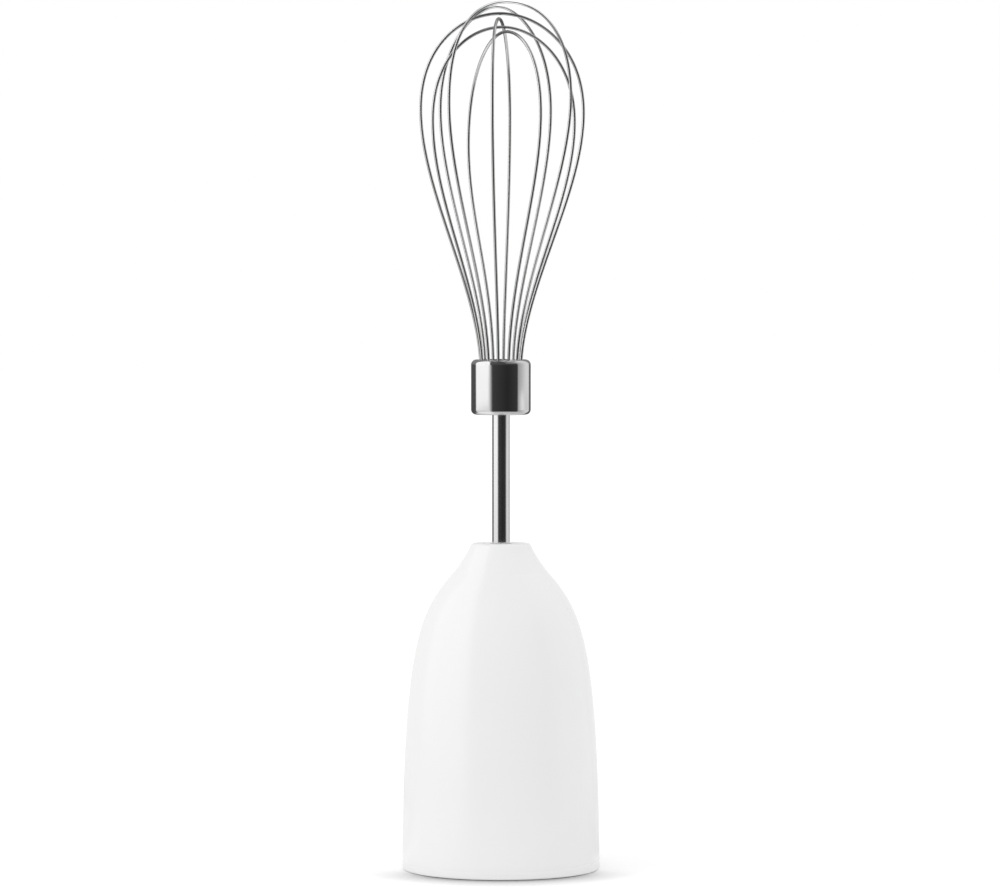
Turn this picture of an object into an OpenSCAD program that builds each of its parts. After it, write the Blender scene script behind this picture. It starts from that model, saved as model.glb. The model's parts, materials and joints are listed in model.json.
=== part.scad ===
// Whisk attachment of a stick blender: a bell-shaped gear housing that stands on
// its open coupling mouth, a planetary reduction inside it, a push-fit shaft and
// a balloon whisk of six wire loops. Millimetres, +Z up, origin at the centre of
// the mouth rim. The front of the object faces -Y.

/* [Housing] */
// Height of the housing, from the mouth rim to the top of the neck
housing_h = 94.2; // [92:0.1:104]
// Outer diameter at the mouth rim
mouth_d = 57.2; // [54:0.2:62]
// Outer diameter of the neck just below its rounded edge
neck_d = 17.4; // [16.8:0.2:20]
// Wall between the mouth's outer face and the bore for the coupling ring
mouth_wall = 2.8; // [2.4:0.1:3]
// Wall of the dome above the gear case
dome_wall = 2.3; // [1.8:0.1:3]
// Radius of the rounded edge at the top of the neck
neck_edge_r = 1; // [0.5:0.1:1.5]
// Radius of the rounded edge at the mouth rim
rim_edge_r = 0.6; // [0.3:0.1:1]

/* [Coupling mouth] */
// Wall of the coupling ring round the bore that takes the motor handle
coupling_wall = 2.3; // [2:0.1:3.4]
// Depth of that bore
spigot_depth = 18; // [12:1:19]
// Set-back of the coupling ring behind the mouth rim
ring_inset = 0.8; // [0.5:0.1:1.5]
// Depth of the coupling ring and the space around the drive socket
coupling_depth = 35; // [34:0.5:38]
// Width of each bayonet entry slot
bayonet_w = 6; // [4:0.5:8]
// Depth of each bayonet slot into the ring
bayonet_cut = 1.2; // [0.8:0.1:1.6]
// Width across the flats of the drive socket
drive_af = 8; // [6:0.5:9]
// Outer diameter of the drive socket
drive_d = 13; // [12:0.5:16]
// Length of the drive socket piece
drive_len = 12; // [10:0.5:13]

/* [Gear train] */
// Width of the case flange that the screws clamp
flange_w = 4.3; // [4.2:0.1:5]
// Face width of the gears
gear_w = 7; // [5:0.5:8]
// Diameter of the input shaft
input_d = 4; // [3.6:0.1:4.2]
// Diameter of the planet pins
pin_d = 3; // [2:0.1:4]
// Thickness of the carrier plate
carrier_t = 4; // [3:0.5:5]
// Thickness of the retainer plate
retainer_t = 2; // [1.5:0.25:3]
// Outer diameter of the output hub
hub_d = 10; // [9:0.2:10.4]
// Wall of the gear case around the ring gear
case_wall = 1.25; // [1:0.05:1.3]
// Wall of the ring gear outside its tooth roots
ring_wall = 1.875; // [1.5:0.025:2.5]
// Thickness of the case flange and of the gear cover
flange_t = 3; // [2.6:0.2:4]

/* [Bearings and seals] */
// Wall of the two output bushes
output_bush_t = 1.55; // [1:0.05:2]
// Length of each output bush
output_bush_len = 8; // [6:0.5:10]
// Wall of the input bush
input_bush_t = 1.95; // [1.5:0.05:2.2]
// Outer diameter of the shaft seal
seal_d = 11.6; // [10:0.2:12]
// Height of the shaft seal
seal_h = 4; // [3:0.25:4.5]
// Thickness of the flat gasket between the gear case and the housing
gasket_t = 0.5; // [0.4:0.1:1]

/* [Fasteners] */
// Shank diameter of the screws that hold the gear unit
unit_screw_d = 2.2; // [1.8:0.1:2.4]
// Head diameter of the screws that hold the gear unit
unit_head_d = 3.8; // [3.4:0.1:4]
// Shank diameter of the screws that hold the coupling ring
ring_screw_d = 1.8; // [1.4:0.1:2]
// Head diameter of the screws that hold the coupling ring
ring_head_d = 3.4; // [3:0.1:3.6]

/* [Whisk] */
// Height of the whole object
total_h = 250; // [240:1:270]
// Diameter of the whisk shaft
shaft_d = 5; // [4.6:0.1:5.2]
// Height of the whisk shaft's lower end above the input shaft
shaft_lift = 6.4; // [5:0.2:10]
// Length of shaft seen between the neck and the ferrule
shaft_show = 37.25; // [30:0.05:45]
// Width across the flats of the shaft's driven end
shaft_af = 4.2; // [3.6:0.1:4.2]
// Outer diameter of the ferrule
ferrule_d = 17.2; // [16:0.1:20]
// Height of the ferrule
ferrule_h = 15.85; // [12:0.05:24]
// Wall of the ferrule
ferrule_t = 0.5; // [0.4:0.1:0.8]
// Radius of the ferrule's top edge
ferrule_top_r = 1.5; // [1:0.1:2]
// Radius of the ferrule's bottom edge
ferrule_base_r = 1.4; // [0.8:0.1:2]
// Diameter of the wire
wire_d = 0.9; // [0.8:0.05:1.1]
// Diameter of the circle on which the wires leave the ferrule
wire_circle_d = 11.8; // [11:0.1:12.6]
// Greatest width of the widest wire loop, between wire centres
balloon_w = 47.6; // [40:0.2:56]

/* [Clearances] */
// Radial clearance of a shaft that turns or slides in its bore
run_gap = 0.05; // [0.03:0.01:0.1]
// Radial clearance of parts pressed or seated together
seat_gap = 0.02; // [0.01:0.01:0.05]
// Axial clearance beside turning parts
side_gap = 0.4; // [0.3:0.05:0.6]
// Thickness taken off each gear tooth for backlash
backlash = 0.06; // [0.04:0.01:0.1]

/* [Hidden] */
$fn = 96;
eps = 0.01;

// Housing outline: the wall bends over a shoulder and flares into the neck.
mouth_r = mouth_d / 2;
neck_r = neck_d / 2;
bend_r = 13.7;
bend_drop = 8.5;
bend_z = housing_h - bend_drop;
bend_angle = 42;
wall_pull = [-0.7, 63];
shoulder_pull = 15.5;
flare_pull = 0.5;
neck_pull = 3.5;
neck_angle = 22;
outline_steps = 30;
edge_steps = 8;

// Small clearances that belong to no fit
slip_gap = 0.1;
screw_gap = 0.15;

// Heights inside the housing, from the mouth upwards
bore_r = mouth_r - mouth_wall;
flange_r = bore_r - 2 * slip_gap;
spigot_r = bore_r - slip_gap - coupling_wall;
cover_z = coupling_depth;
cover_top = cover_z + flange_t;
case_z = cover_top;
gasket_z = case_z + flange_t;
seat_z = gasket_z + gasket_t;
retainer_z = cover_top + side_gap + 2 * slip_gap;
gear_z = retainer_z + retainer_t + side_gap;
gear_top = gear_z + gear_w;
carrier_z = gear_top + side_gap;
carrier_top = carrier_z + carrier_t;
thrust_t = 0.5;
case_roof_z = carrier_top + slip_gap + thrust_t;
case_roof_t = 2.5;

// Gear sizes
sun_teeth = 12;
planet_teeth = 24;
ring_teeth = 60;
planet_count = 3;
pressure_angle = 20;
flank_steps = 3;
root_depth = 1.25;
case_out_r = flange_r - flange_w;
case_in_r = case_out_r - case_wall;
ring_out_r = case_in_r - run_gap;
gear_mod = (ring_out_r - ring_wall) / (ring_teeth / 2 + root_depth);
sun_r = gear_mod * sun_teeth / 2;
planet_r = gear_mod * planet_teeth / 2;
ring_r = gear_mod * ring_teeth / 2;
orbit_r = sun_r + planet_r;
dedendum = root_depth * gear_mod;
short_addendum = 0.8 * gear_mod;
case_bore_r = case_out_r + 2 * slip_gap;
carrier_rim = 1.3;
carrier_r = orbit_r + pin_d / 2 + carrier_rim;
post_r = 1.6;
post_inset = 0.4;
post_orbit = orbit_r - post_inset;
key_w = 3;
key_h = 2;
key_inset = 0.6;
planet_hub_t = 1;
planet_recess = 0.8;

// Input side
input_r = input_d / 2;
washer_t = 0.4;
boss_h = 2;
bush_flange_z = cover_z - boss_h - thrust_t;
drive_top = bush_flange_z - washer_t - slip_gap;
drive_z = drive_top - drive_len;
drive_floor = 4;
drive_depth = drive_len - drive_floor;
drive_collar = 0.6;
pilot_len = 1.2;
input_top = carrier_top + pilot_len;
input_bush_r = input_r + run_gap + input_bush_t;
bush_proud = 0.4;
input_bush_top = cover_top + bush_proud;
input_clip_z = input_bush_top + run_gap;
input_clip_t = 0.5;
groove_depth = 0.4;
hub_groove_depth = 0.6;

// Output hub, whisk shaft and the parts round them
hub_r = hub_d / 2;
shaft_r = shaft_d / 2;
hub_bore_r = shaft_r + run_gap;
ceiling_t = 7.2;
ceiling_z = housing_h - ceiling_t;
dome_top_gap = 3.5;
dome_top_r = hub_r + dome_top_gap;
hub_drop = 0.6;
hub_top = ceiling_z - hub_drop;
shaft_z = input_top + shaft_lift;
hex_len = 8;
socket_z = shaft_z - slip_gap;
spring_drop = 1.2;
spring_z = hub_top - spring_drop;
spring_wire_r = 0.4;
spring_x = hub_bore_r + spring_wire_r;
clip_t = 0.6;
clip_lip = 1.3;
clip_drop = 2.4;
clip_z = spring_z - clip_drop;
washer_z = clip_z - slip_gap - washer_t;
bush_flange_t = 0.8;
case_neck_top = washer_z - slip_gap - bush_flange_t;
bush_out_r = hub_r + run_gap + output_bush_t;
case_neck_t = 2;
case_neck_r = bush_out_r + seat_gap + case_neck_t;
rib_count = 6;
rib_h = 14;
rib_t = 1.6;
seal_r = seal_d / 2;
seal_float = 0.3;
seal_z = ceiling_z + seal_float;
neck_gap = 0.4;
neck_hole_r = shaft_r + neck_gap;

// Fastener circles
unit_head_edge = 0.9;
unit_screw_circle_r = bore_r - unit_head_d / 2 - unit_head_edge;
unit_screw_reach = 9;
unit_screw_tip = gasket_z + unit_screw_reach;
unit_head_h = 1.8;
ring_head_gap = 1;
ring_head_edge = 0.6;
ring_screw_circle_r = spigot_r - ring_head_d / 2 - ring_head_gap;
ring_flange_t = 2;
ring_flange_z = coupling_depth - ring_flange_t;
ring_head_h = 1.4;
ring_step = 0.8;
ring_upper_r = spigot_r - ring_step;
ring_flange_in_r = ring_screw_circle_r - ring_head_d / 2 - ring_head_edge;
screw_count = 3;
ring_screw_turn = 60;
slot_w = 0.5;

// Ferrule and wires
ferrule_z = housing_h + shaft_show;
ferrule_top = ferrule_z + ferrule_h;
ferrule_r = ferrule_d / 2;
holder_r = ferrule_r - ferrule_t - slip_gap;
holder_lift = 2.1;
holder_z = ferrule_z + holder_lift;
holder_drop = 0.75;
holder_top = ferrule_top - holder_drop;
holder_step = 1.3;
holder_cap = 2.5;
shaft_top = holder_top - holder_cap;
wire_r = wire_d / 2;
wire_hole_r = wire_r + run_gap;
foot_r = wire_circle_d / 2;
foot_depth = 9;
foot_z = holder_top - foot_depth;
wire_sides = 8;
curve_steps = 13;
exit_angle = 4.2;
side_exit_angle = 2.3;
exit_pull = 23;
waist_pull = 22.5;
crown_pull = 0.68;
crown_z = total_h - wire_r;
loop_r = balloon_w / 2;
first_foot = -7.5;
foot_count = 12;

// Loops that cross the axis: azimuth of one foot, turn of the balloon against the
// feet, half width less than the widest loop's, drop of the top below the crown,
// drop of the widest point below the top, how much lower that point is on the
// foot's side than on the other, sideways lean there and at the top, crown fullness
CROSS_LOOPS = [
    [first_foot, 1, 0.2, 2.7, 28, 0.6, 0.3, -0.3, 0.46],
    [first_foot - 90, 1.3, 0.4, 4.2, 25.6, -2, 0.1, -0.4, 0.55],
    [first_foot + 30, -0.7, 1.8, 6.6, 27, 0.1, 0.9, 0.6, 0.45],
    [first_foot - 60, 4.1, 0.6, 7.9, 28, -4.1, 0.9, 1.3, 0.46]
];

// Loops that span a quarter turn beside the axis: azimuth of the middle, half
// width, distance of the widest point and of the top from the axis, drop of the
// widest point below the top, its difference in height, leans and crown fullness
SIDE_LOOPS = [
    [first_foot - 75, 17.5, 16, 13, 27.8, -0.9, 0.5, 0.1, 0.58],
    [first_foot + 105, 16.2, 16.5, 13, 30, -0.1, 0.6, 0.7, 0.37]
];

// ---------------------------------------------------------------- curves

function bezier(a, b, c, d, t) =
    pow(1 - t, 3) * a + 3 * pow(1 - t, 2) * t * b + 3 * (1 - t) * t * t * c + pow(t, 3) * d;

function unit(v) = v / norm(v);

function smooth(t) = t * t * (3 - 2 * t);

function clamp01(t) = max(0, min(1, t));

// Arc of radius r about c, from angle a0 to angle a1
function arc(c, r, a0, a1) =
    [for (i = [0:edge_steps]) let (a = a0 + (a1 - a0) * i / edge_steps) c + r * [cos(a), sin(a)]];

// ---------------------------------------------------------------- housing

wall_start = [mouth_r, rim_edge_r];
bend_point = [bend_r, bend_z];
bend_dir = [-sin(bend_angle), cos(bend_angle)];
neck_point = [neck_r, housing_h - neck_edge_r * (1 - sin(neck_angle))];
wall_curve = [wall_start, wall_start + wall_pull, bend_point - shoulder_pull * bend_dir, bend_point];
flare_curve = [
    bend_point,
    bend_point + flare_pull * bend_dir,
    neck_point + neck_pull * [sin(neck_angle), -cos(neck_angle)],
    neck_point
];

function on_curve(c, t) = bezier(c[0], c[1], c[2], c[3], t);

// Point of the wall curve moved inwards by the dome wall
function inside_wall(t) =
    let (d = unit(on_curve(wall_curve, t + eps) - on_curve(wall_curve, t - eps)))
    on_curve(wall_curve, t) + dome_wall * [-d.y, d.x];

module housing_outline() {
    rim = arc([mouth_r - rim_edge_r, rim_edge_r], rim_edge_r, 270, 360);
    wall = [for (i = [1:outline_steps]) on_curve(wall_curve, i / outline_steps)];
    flare = [for (i = [1:edge_steps]) on_curve(flare_curve, i / edge_steps)];
    edge_c = neck_point - neck_edge_r * [cos(neck_angle), sin(neck_angle)];
    edge = arc(edge_c, neck_edge_r, neck_angle, 90);
    // The dome ends where it meets the bore round the gear case
    dome = [
        for (i = [outline_steps:-1:1])
            let (p = inside_wall(i / outline_steps), above = inside_wall((i + 1) / outline_steps))
            if (above.x < case_bore_r && p.y > seat_z) [min(p.x, case_bore_r), p.y]
    ];
    polygon(concat(
        [[bore_r, 0]], rim, wall, flare, edge,
        [[neck_hole_r, housing_h], [neck_hole_r, seal_z + seal_h]],
        [[seal_r + seat_gap, seal_z + seal_h], [seal_r + seat_gap, ceiling_z]],
        [[dome_top_r, ceiling_z]],
        dome,
        [[case_bore_r, seat_z], [bore_r, seat_z]]
    ));
}

module housing_shell() {
    color("white")
    difference() {
        rotate_extrude() housing_outline();
        screw_holes(unit_screw_circle_r, unit_screw_d / 2 + seat_gap, seat_z - eps, unit_screw_tip + 1, 0);
    }
}

// Three plain holes on a circle, between two heights
module screw_holes(circle_r, hole_r, z0, z1, turn) {
    for (i = [0:screw_count - 1])
        rotate(turn + i * 360 / screw_count)
            translate([circle_r, 0, z0]) cylinder(r = hole_r, h = z1 - z0, $fn = 32);
}

// Three pan-head screws on a circle: the head starts at z0 and the shank ends at z1
module pan_screws(circle_r, shank_r, head_r, head_h, z0, z1, turn) {
    for (i = [0:screw_count - 1])
        rotate(turn + i * 360 / screw_count) translate([circle_r, 0, z0])
            difference() {
                union() {
                    cylinder(r1 = head_r * 0.85, r2 = head_r, h = head_h / 2, $fn = 32);
                    translate([0, 0, head_h / 2]) cylinder(r = head_r, h = head_h / 2, $fn = 32);
                    translate([0, 0, head_h / 2]) cylinder(r = shank_r, h = z1 - z0 - head_h / 2, $fn = 32);
                }
                for (a = [0, 90])
                    rotate(a) translate([-head_r * 0.6, -slot_w / 2, -eps])
                        cube([head_r * 1.2, slot_w, head_h / 2]);
            }
}

// ---------------------------------------------------------------- coupling mouth

// Sector of a full turn, wide enough to cut any ring of this object
module sector(a0, a1, z0, z1) {
    reach = 2 * mouth_r;
    translate([0, 0, z0]) linear_extrude(z1 - z0)
        polygon([[0, 0], reach * [cos(a0), sin(a0)], reach * [cos(a1), sin(a1)]]);
}

module coupling_ring() {
    entry_h = 9.5;
    lock_h = 3;
    lock_turn = 20;
    color("gainsboro")
    difference() {
        rotate_extrude() polygon([
            [spigot_r, ring_inset],
            [bore_r - slip_gap, ring_inset],
            [bore_r - slip_gap, cover_z],
            [ring_flange_in_r, cover_z],
            [ring_flange_in_r, ring_flange_z],
            [ring_upper_r, ring_flange_z],
            [ring_upper_r, ring_inset + spigot_depth],
            [spigot_r, ring_inset + spigot_depth]
        ]);
        screw_holes(
            ring_screw_circle_r, ring_screw_d / 2 + screw_gap,
            ring_flange_z - eps, cover_z + eps, ring_screw_turn
        );
        for (side = [0, 180]) rotate(side) {
            translate([0, -bayonet_w / 2, 0]) cube([spigot_r + bayonet_cut, bayonet_w, ring_inset + entry_h]);
            intersection() {
                translate([0, 0, ring_inset + entry_h - lock_h])
                    cylinder(r = spigot_r + bayonet_cut, h = lock_h);
                sector(0, lock_turn, ring_inset, ring_inset + entry_h + 1);
            }
        }
    }
}

module ring_screws() {
    color("silver")
    pan_screws(
        ring_screw_circle_r, ring_screw_d / 2, ring_head_d / 2, ring_head_h,
        ring_flange_z - ring_head_h, cover_top - 0.3, ring_screw_turn
    );
}

// Hexagonal prism given by its width across the flats
module hex_prism(af, h) {
    cylinder(r = af / 2 / cos(30), h = h, $fn = 6);
}

module drive_coupling() {
    color("dimgray")
    difference() {
        union() {
            translate([0, 0, drive_z]) cylinder(r = drive_d / 2, h = drive_len);
            translate([0, 0, drive_z + 1]) cylinder(r = drive_d / 2 + drive_collar, h = 2 * drive_collar);
        }
        translate([0, 0, drive_z - eps]) hex_prism(drive_af, drive_depth + eps);
        translate([0, 0, drive_z]) cylinder(r = input_r + seat_gap, h = drive_len + eps);
    }
}

// ---------------------------------------------------------------- gears

function involute(a) = tan(a) * 180 / PI - a;

// Half the angle that a tooth covers at radius r
function tooth_half_angle(r, teeth, thin) =
    let (pitch_r = gear_mod * teeth / 2, base_r = pitch_r * cos(pressure_angle))
    (90 / teeth) - thin / 2 / pitch_r * 180 / PI
        + involute(pressure_angle) - involute(acos(min(1, base_r / r)));

// Outline of a spur gear with a tooth centred on the +X axis
function gear_points(teeth, root_r, tip_r, thin) =
    let (
        base_r = gear_mod * teeth / 2 * cos(pressure_angle),
        start_r = max(base_r, root_r),
        flank = [for (i = [0:flank_steps]) start_r + (tip_r - start_r) * i / flank_steps],
        profile = root_r < base_r - eps ? concat([root_r], flank) : flank
    )
    [
        for (t = [0:teeth - 1], side = [-1, 1], i = [0:len(profile) - 1])
            let (
                k = side < 0 ? i : len(profile) - 1 - i,
                r = profile[k],
                a = t * 360 / teeth + side * tooth_half_angle(max(r, start_r), teeth, thin)
            )
            r * [cos(a), sin(a)]
    ];

module spur_gear(teeth, addendum, bore_r) {
    pitch_r = gear_mod * teeth / 2;
    difference() {
        linear_extrude(gear_w)
            polygon(gear_points(teeth, pitch_r - dedendum, pitch_r + addendum, backlash));
        translate([0, 0, -eps]) cylinder(r = bore_r, h = gear_w + 2 * eps, $fn = 48);
    }
}

module sun_gear() {
    color("goldenrod")
    translate([0, 0, gear_z]) spur_gear(sun_teeth, gear_mod, input_r + seat_gap);
}

module planet_gear(index) {
    color("ivory")
    rotate(index * 360 / planet_count) translate([orbit_r, 0, gear_z]) rotate(180 / planet_teeth)
        difference() {
            spur_gear(planet_teeth, short_addendum, pin_d / 2 + run_gap);
            for (z = [-eps, gear_w - planet_recess]) translate([0, 0, z]) difference() {
                cylinder(r = planet_r - dedendum - planet_hub_t, h = planet_recess + eps, $fn = 48);
                translate([0, 0, -eps])
                    cylinder(r = pin_d / 2 + planet_hub_t, h = 2 * planet_recess, $fn = 48);
            }
        }
}

// Three keys that stop the ring gear from turning, made wider by gap to cut their slots
module ring_keys(gap, z0) {
    length = case_out_r - ring_out_r + key_inset - 2 * slip_gap;
    for (i = [0:screw_count - 1]) rotate(ring_screw_turn + i * 360 / screw_count)
        translate([ring_out_r - key_inset - gap, -key_w / 2 - gap, z0])
            cube([length + gap, key_w + 2 * gap, key_h + gap + eps]);
}

module ring_gear() {
    gear_bed = gear_top + side_gap;
    color("lightgray")
    difference() {
        translate([0, 0, gear_z - side_gap]) cylinder(r = ring_out_r, h = gear_bed - gear_z + side_gap);
        translate([0, 0, gear_z - 1]) rotate(180 / ring_teeth) linear_extrude(gear_w + 2)
            polygon(gear_points(ring_teeth, ring_r - short_addendum, ring_r + dedendum, -backlash));
        ring_keys(slip_gap, gear_bed - key_h - slip_gap);
    }
}

// ---------------------------------------------------------------- gear case

module gear_case() {
    ledge_z = gear_top + side_gap;
    ledge_r = ring_out_r - 0.9;
    color("whitesmoke")
    difference() {
        union() {
            rotate_extrude() polygon([
                [case_in_r, case_z],
                [flange_r, case_z],
                [flange_r, gasket_z],
                [case_out_r, gasket_z],
                [case_out_r, case_roof_z + case_roof_t],
                [case_neck_r, case_roof_z + case_roof_t],
                [case_neck_r, case_neck_top],
                [bush_out_r + seat_gap, case_neck_top],
                [bush_out_r + seat_gap, case_roof_z],
                [ledge_r, case_roof_z],
                [ledge_r, ledge_z],
                [case_in_r, ledge_z]
            ]);
            for (i = [0:rib_count - 1]) rotate((i + 0.5) * 360 / rib_count) case_rib();
            ring_keys(0, ledge_z - key_h);
        }
        screw_holes(unit_screw_circle_r, unit_screw_d / 2 + screw_gap, case_z - eps, gasket_z + eps, 0);
    }
}

// Upright rib that steadies the neck on the roof of the gear case
module case_rib() {
    base = case_roof_z + case_roof_t - eps;
    translate([0, rib_t / 2, 0]) rotate([90, 0, 0]) linear_extrude(rib_t) polygon([
        [case_neck_r - 0.5, base],
        [case_out_r - 2, base],
        [case_out_r - 2, base + 1.5],
        [case_neck_r - 0.5, base + rib_h]
    ]);
}

module gear_cover() {
    collar_r = ring_out_r - slip_gap;
    collar_t = 1.3;
    boss_t = 3.5;
    color("whitesmoke")
    difference() {
        union() {
            translate([0, 0, cover_z]) cylinder(r = flange_r, h = flange_t);
            translate([0, 0, cover_top]) difference() {
                cylinder(r = collar_r, h = gear_z - side_gap - cover_top);
                translate([0, 0, -eps]) cylinder(r = collar_r - collar_t, h = gear_z);
            }
            translate([0, 0, bush_flange_z + thrust_t]) cylinder(r = input_bush_r + boss_t, h = flange_t);
        }
        translate([0, 0, bush_flange_z - 1]) cylinder(r = input_bush_r + seat_gap, h = 2 * flange_t + 4);
        screw_holes(unit_screw_circle_r, unit_screw_d / 2 + screw_gap, cover_z - eps, cover_top + eps, 0);
        screw_holes(
            unit_screw_circle_r, unit_head_d / 2 + screw_gap,
            cover_z - eps, cover_z + unit_head_h, 0
        );
        screw_holes(
            ring_screw_circle_r, ring_screw_d / 2 + seat_gap,
            cover_z - eps, cover_top - 0.2, ring_screw_turn
        );
    }
}

module unit_screws() {
    color("silver")
    pan_screws(
        unit_screw_circle_r, unit_screw_d / 2, unit_head_d / 2, unit_head_h,
        cover_z, unit_screw_tip, 0
    );
}

module case_gasket() {
    color("black")
    difference() {
        translate([0, 0, gasket_z]) cylinder(r = flange_r, h = gasket_t);
        translate([0, 0, gasket_z - eps]) cylinder(r = case_out_r + slip_gap, h = gasket_t + 2 * eps);
        screw_holes(unit_screw_circle_r, unit_screw_d / 2 + screw_gap, gasket_z - eps, seat_z + eps, 0);
    }
}

// ---------------------------------------------------------------- bushes and seal

// Plain bush with a flange of the given height below (negative) or above its seat
module flanged_bush(bore_r, out_r, flange_out_r, z0, z1, flange_z0, flange_z1) {
    rotate_extrude() union() {
        translate([bore_r, z0]) square([out_r - bore_r, z1 - z0]);
        translate([bore_r, flange_z0]) square([flange_out_r - bore_r, flange_z1 - flange_z0]);
    }
}

module lower_bush() {
    color("peru")
    flanged_bush(
        hub_r + run_gap, bush_out_r, case_neck_r - 1,
        case_roof_z - thrust_t, case_roof_z + output_bush_len,
        case_roof_z - thrust_t, case_roof_z
    );
}

module upper_bush() {
    color("peru")
    flanged_bush(
        hub_r + run_gap, bush_out_r, case_neck_r - 1,
        case_neck_top - output_bush_len, case_neck_top + bush_flange_t,
        case_neck_top, case_neck_top + bush_flange_t
    );
}

module input_bush() {
    color("peru")
    flanged_bush(
        input_r + run_gap, input_bush_r, input_bush_r + 2,
        bush_flange_z, input_bush_top,
        bush_flange_z, bush_flange_z + thrust_t
    );
}

module shaft_seal() {
    lip_r = shaft_r + run_gap;
    color("black")
    rotate_extrude() polygon([
        [lip_r + 0.8, seal_z],
        [seal_r, seal_z],
        [seal_r, seal_z + seal_h - 0.1],
        [lip_r + 0.5, seal_z + seal_h - 0.1],
        [lip_r + 0.5, seal_z + seal_h - 1.1],
        [lip_r, seal_z + seal_h - 1.8],
        [lip_r, seal_z + seal_h - 2.2],
        [lip_r + 0.8, seal_z + 0.8]
    ]);
}

// ---------------------------------------------------------------- input shaft

// Groove for a clip of thickness t that lies at z0 on a shaft of radius r
module clip_groove(r, depth, z0, t) {
    translate([0, 0, z0 - run_gap]) difference() {
        cylinder(r = r + 1, h = t + 2 * run_gap);
        translate([0, 0, -eps]) cylinder(r = r - depth, h = t + 1);
    }
}

module input_shaft() {
    start_z = drive_z + drive_depth + 2 * slip_gap;
    color("lightsteelblue")
    difference() {
        translate([0, 0, start_z]) cylinder(r = input_r, h = input_top - start_z);
        clip_groove(input_r, groove_depth, input_clip_z, input_clip_t);
    }
}

module washer(in_r, out_r, z0, t) {
    translate([0, 0, z0]) difference() {
        cylinder(r = out_r, h = t);
        translate([0, 0, -eps]) cylinder(r = in_r, h = t + 2 * eps);
    }
}

// Open ring clip in a groove of a shaft
module snap_clip(in_r, out_r, z0, t, opening) {
    translate([0, 0, z0]) difference() {
        cylinder(r = out_r, h = t);
        translate([0, 0, -eps]) cylinder(r = in_r, h = t + 2 * eps);
        translate([0, -opening / 2, -eps]) cube([out_r + 1, opening, t + 2 * eps]);
    }
}

module input_washer() {
    color("silver") washer(input_r + run_gap, input_bush_r + 0.5, drive_top + slip_gap / 2, washer_t);
}

module input_clip() {
    in_r = input_r - groove_depth + run_gap;
    color("silver") snap_clip(in_r, input_r + clip_lip, input_clip_z, input_clip_t, 1.3 * in_r);
}

// ---------------------------------------------------------------- carrier and hub

module planet_carrier() {
    pilot_r = input_r + 2 * run_gap;
    color("slategray")
    difference() {
        union() {
            translate([0, 0, carrier_z]) cylinder(r = carrier_r, h = carrier_t);
            translate([0, 0, carrier_z]) cylinder(r = hub_r, h = hub_top - carrier_z);
            for (i = [0:planet_count - 1]) rotate((i + 0.5) * 360 / planet_count)
                translate([post_orbit, 0, retainer_z + retainer_t])
                    cylinder(r = post_r, h = carrier_z - retainer_z - retainer_t + 1, $fn = 32);
        }
        translate([0, 0, carrier_z - eps]) cylinder(r = pilot_r, h = carrier_t + 2);
        translate([0, 0, socket_z]) hex_prism(shaft_af + 2 * run_gap, hex_len + 1);
        translate([0, 0, socket_z + hex_len]) cylinder(r = hub_bore_r, h = hub_top - socket_z);
        for (i = [0:planet_count - 1]) rotate(i * 360 / planet_count)
            translate([orbit_r, 0, carrier_z - eps])
                cylinder(r = pin_d / 2 + seat_gap, h = carrier_t + 1, $fn = 48);
        clip_groove(hub_r, hub_groove_depth, clip_z, clip_t);
        for (side = [-1, 1]) translate([side * (shaft_r + hub_r), 0, spring_z])
            cube([2 * hub_r, 2 * hub_r + 2, 2 * spring_wire_r + 2 * slip_gap], center = true);
    }
}

module retainer_plate() {
    color("silver")
    difference() {
        translate([0, 0, retainer_z]) cylinder(r = carrier_r, h = retainer_t);
        translate([0, 0, retainer_z - eps]) cylinder(r = input_bush_r + 0.5, h = retainer_t + 1);
        for (i = [0:planet_count - 1]) rotate(i * 360 / planet_count)
            translate([orbit_r, 0, retainer_z - eps])
                cylinder(r = pin_d / 2 + seat_gap, h = retainer_t + 1, $fn = 48);
    }
}

module planet_pins() {
    color("silver")
    for (i = [0:planet_count - 1]) rotate(i * 360 / planet_count)
        translate([orbit_r, 0, retainer_z])
            cylinder(r = pin_d / 2, h = carrier_top - retainer_z, $fn = 48);
}

module output_washer() {
    color("silver") washer(hub_r + run_gap, bush_out_r + 0.6, washer_z, washer_t);
}

module output_clip() {
    in_r = hub_r - hub_groove_depth + run_gap;
    color("silver") snap_clip(in_r, hub_r + clip_lip, clip_z, clip_t, 0.9 * in_r);
}

// Hairpin spring whose two legs lie in the hub's slots beside the whisk shaft
module shaft_spring() {
    leg = hub_r + spring_wire_r;
    reach = 2 * hub_r;
    color("silver")
    translate([0, 0, spring_z]) union() {
        for (side = [-1, 1]) translate([side * spring_x, -leg, 0])
            rotate([-90, 0, 0]) cylinder(r = spring_wire_r, h = 2 * leg, $fn = 24);
        translate([0, leg, 0]) difference() {
            rotate_extrude($fn = 48) translate([spring_x, 0]) circle(r = spring_wire_r, $fn = 24);
            translate([-reach, -2 * reach, -reach]) cube(2 * reach);
        }
    }
}

// ---------------------------------------------------------------- whisk

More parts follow.
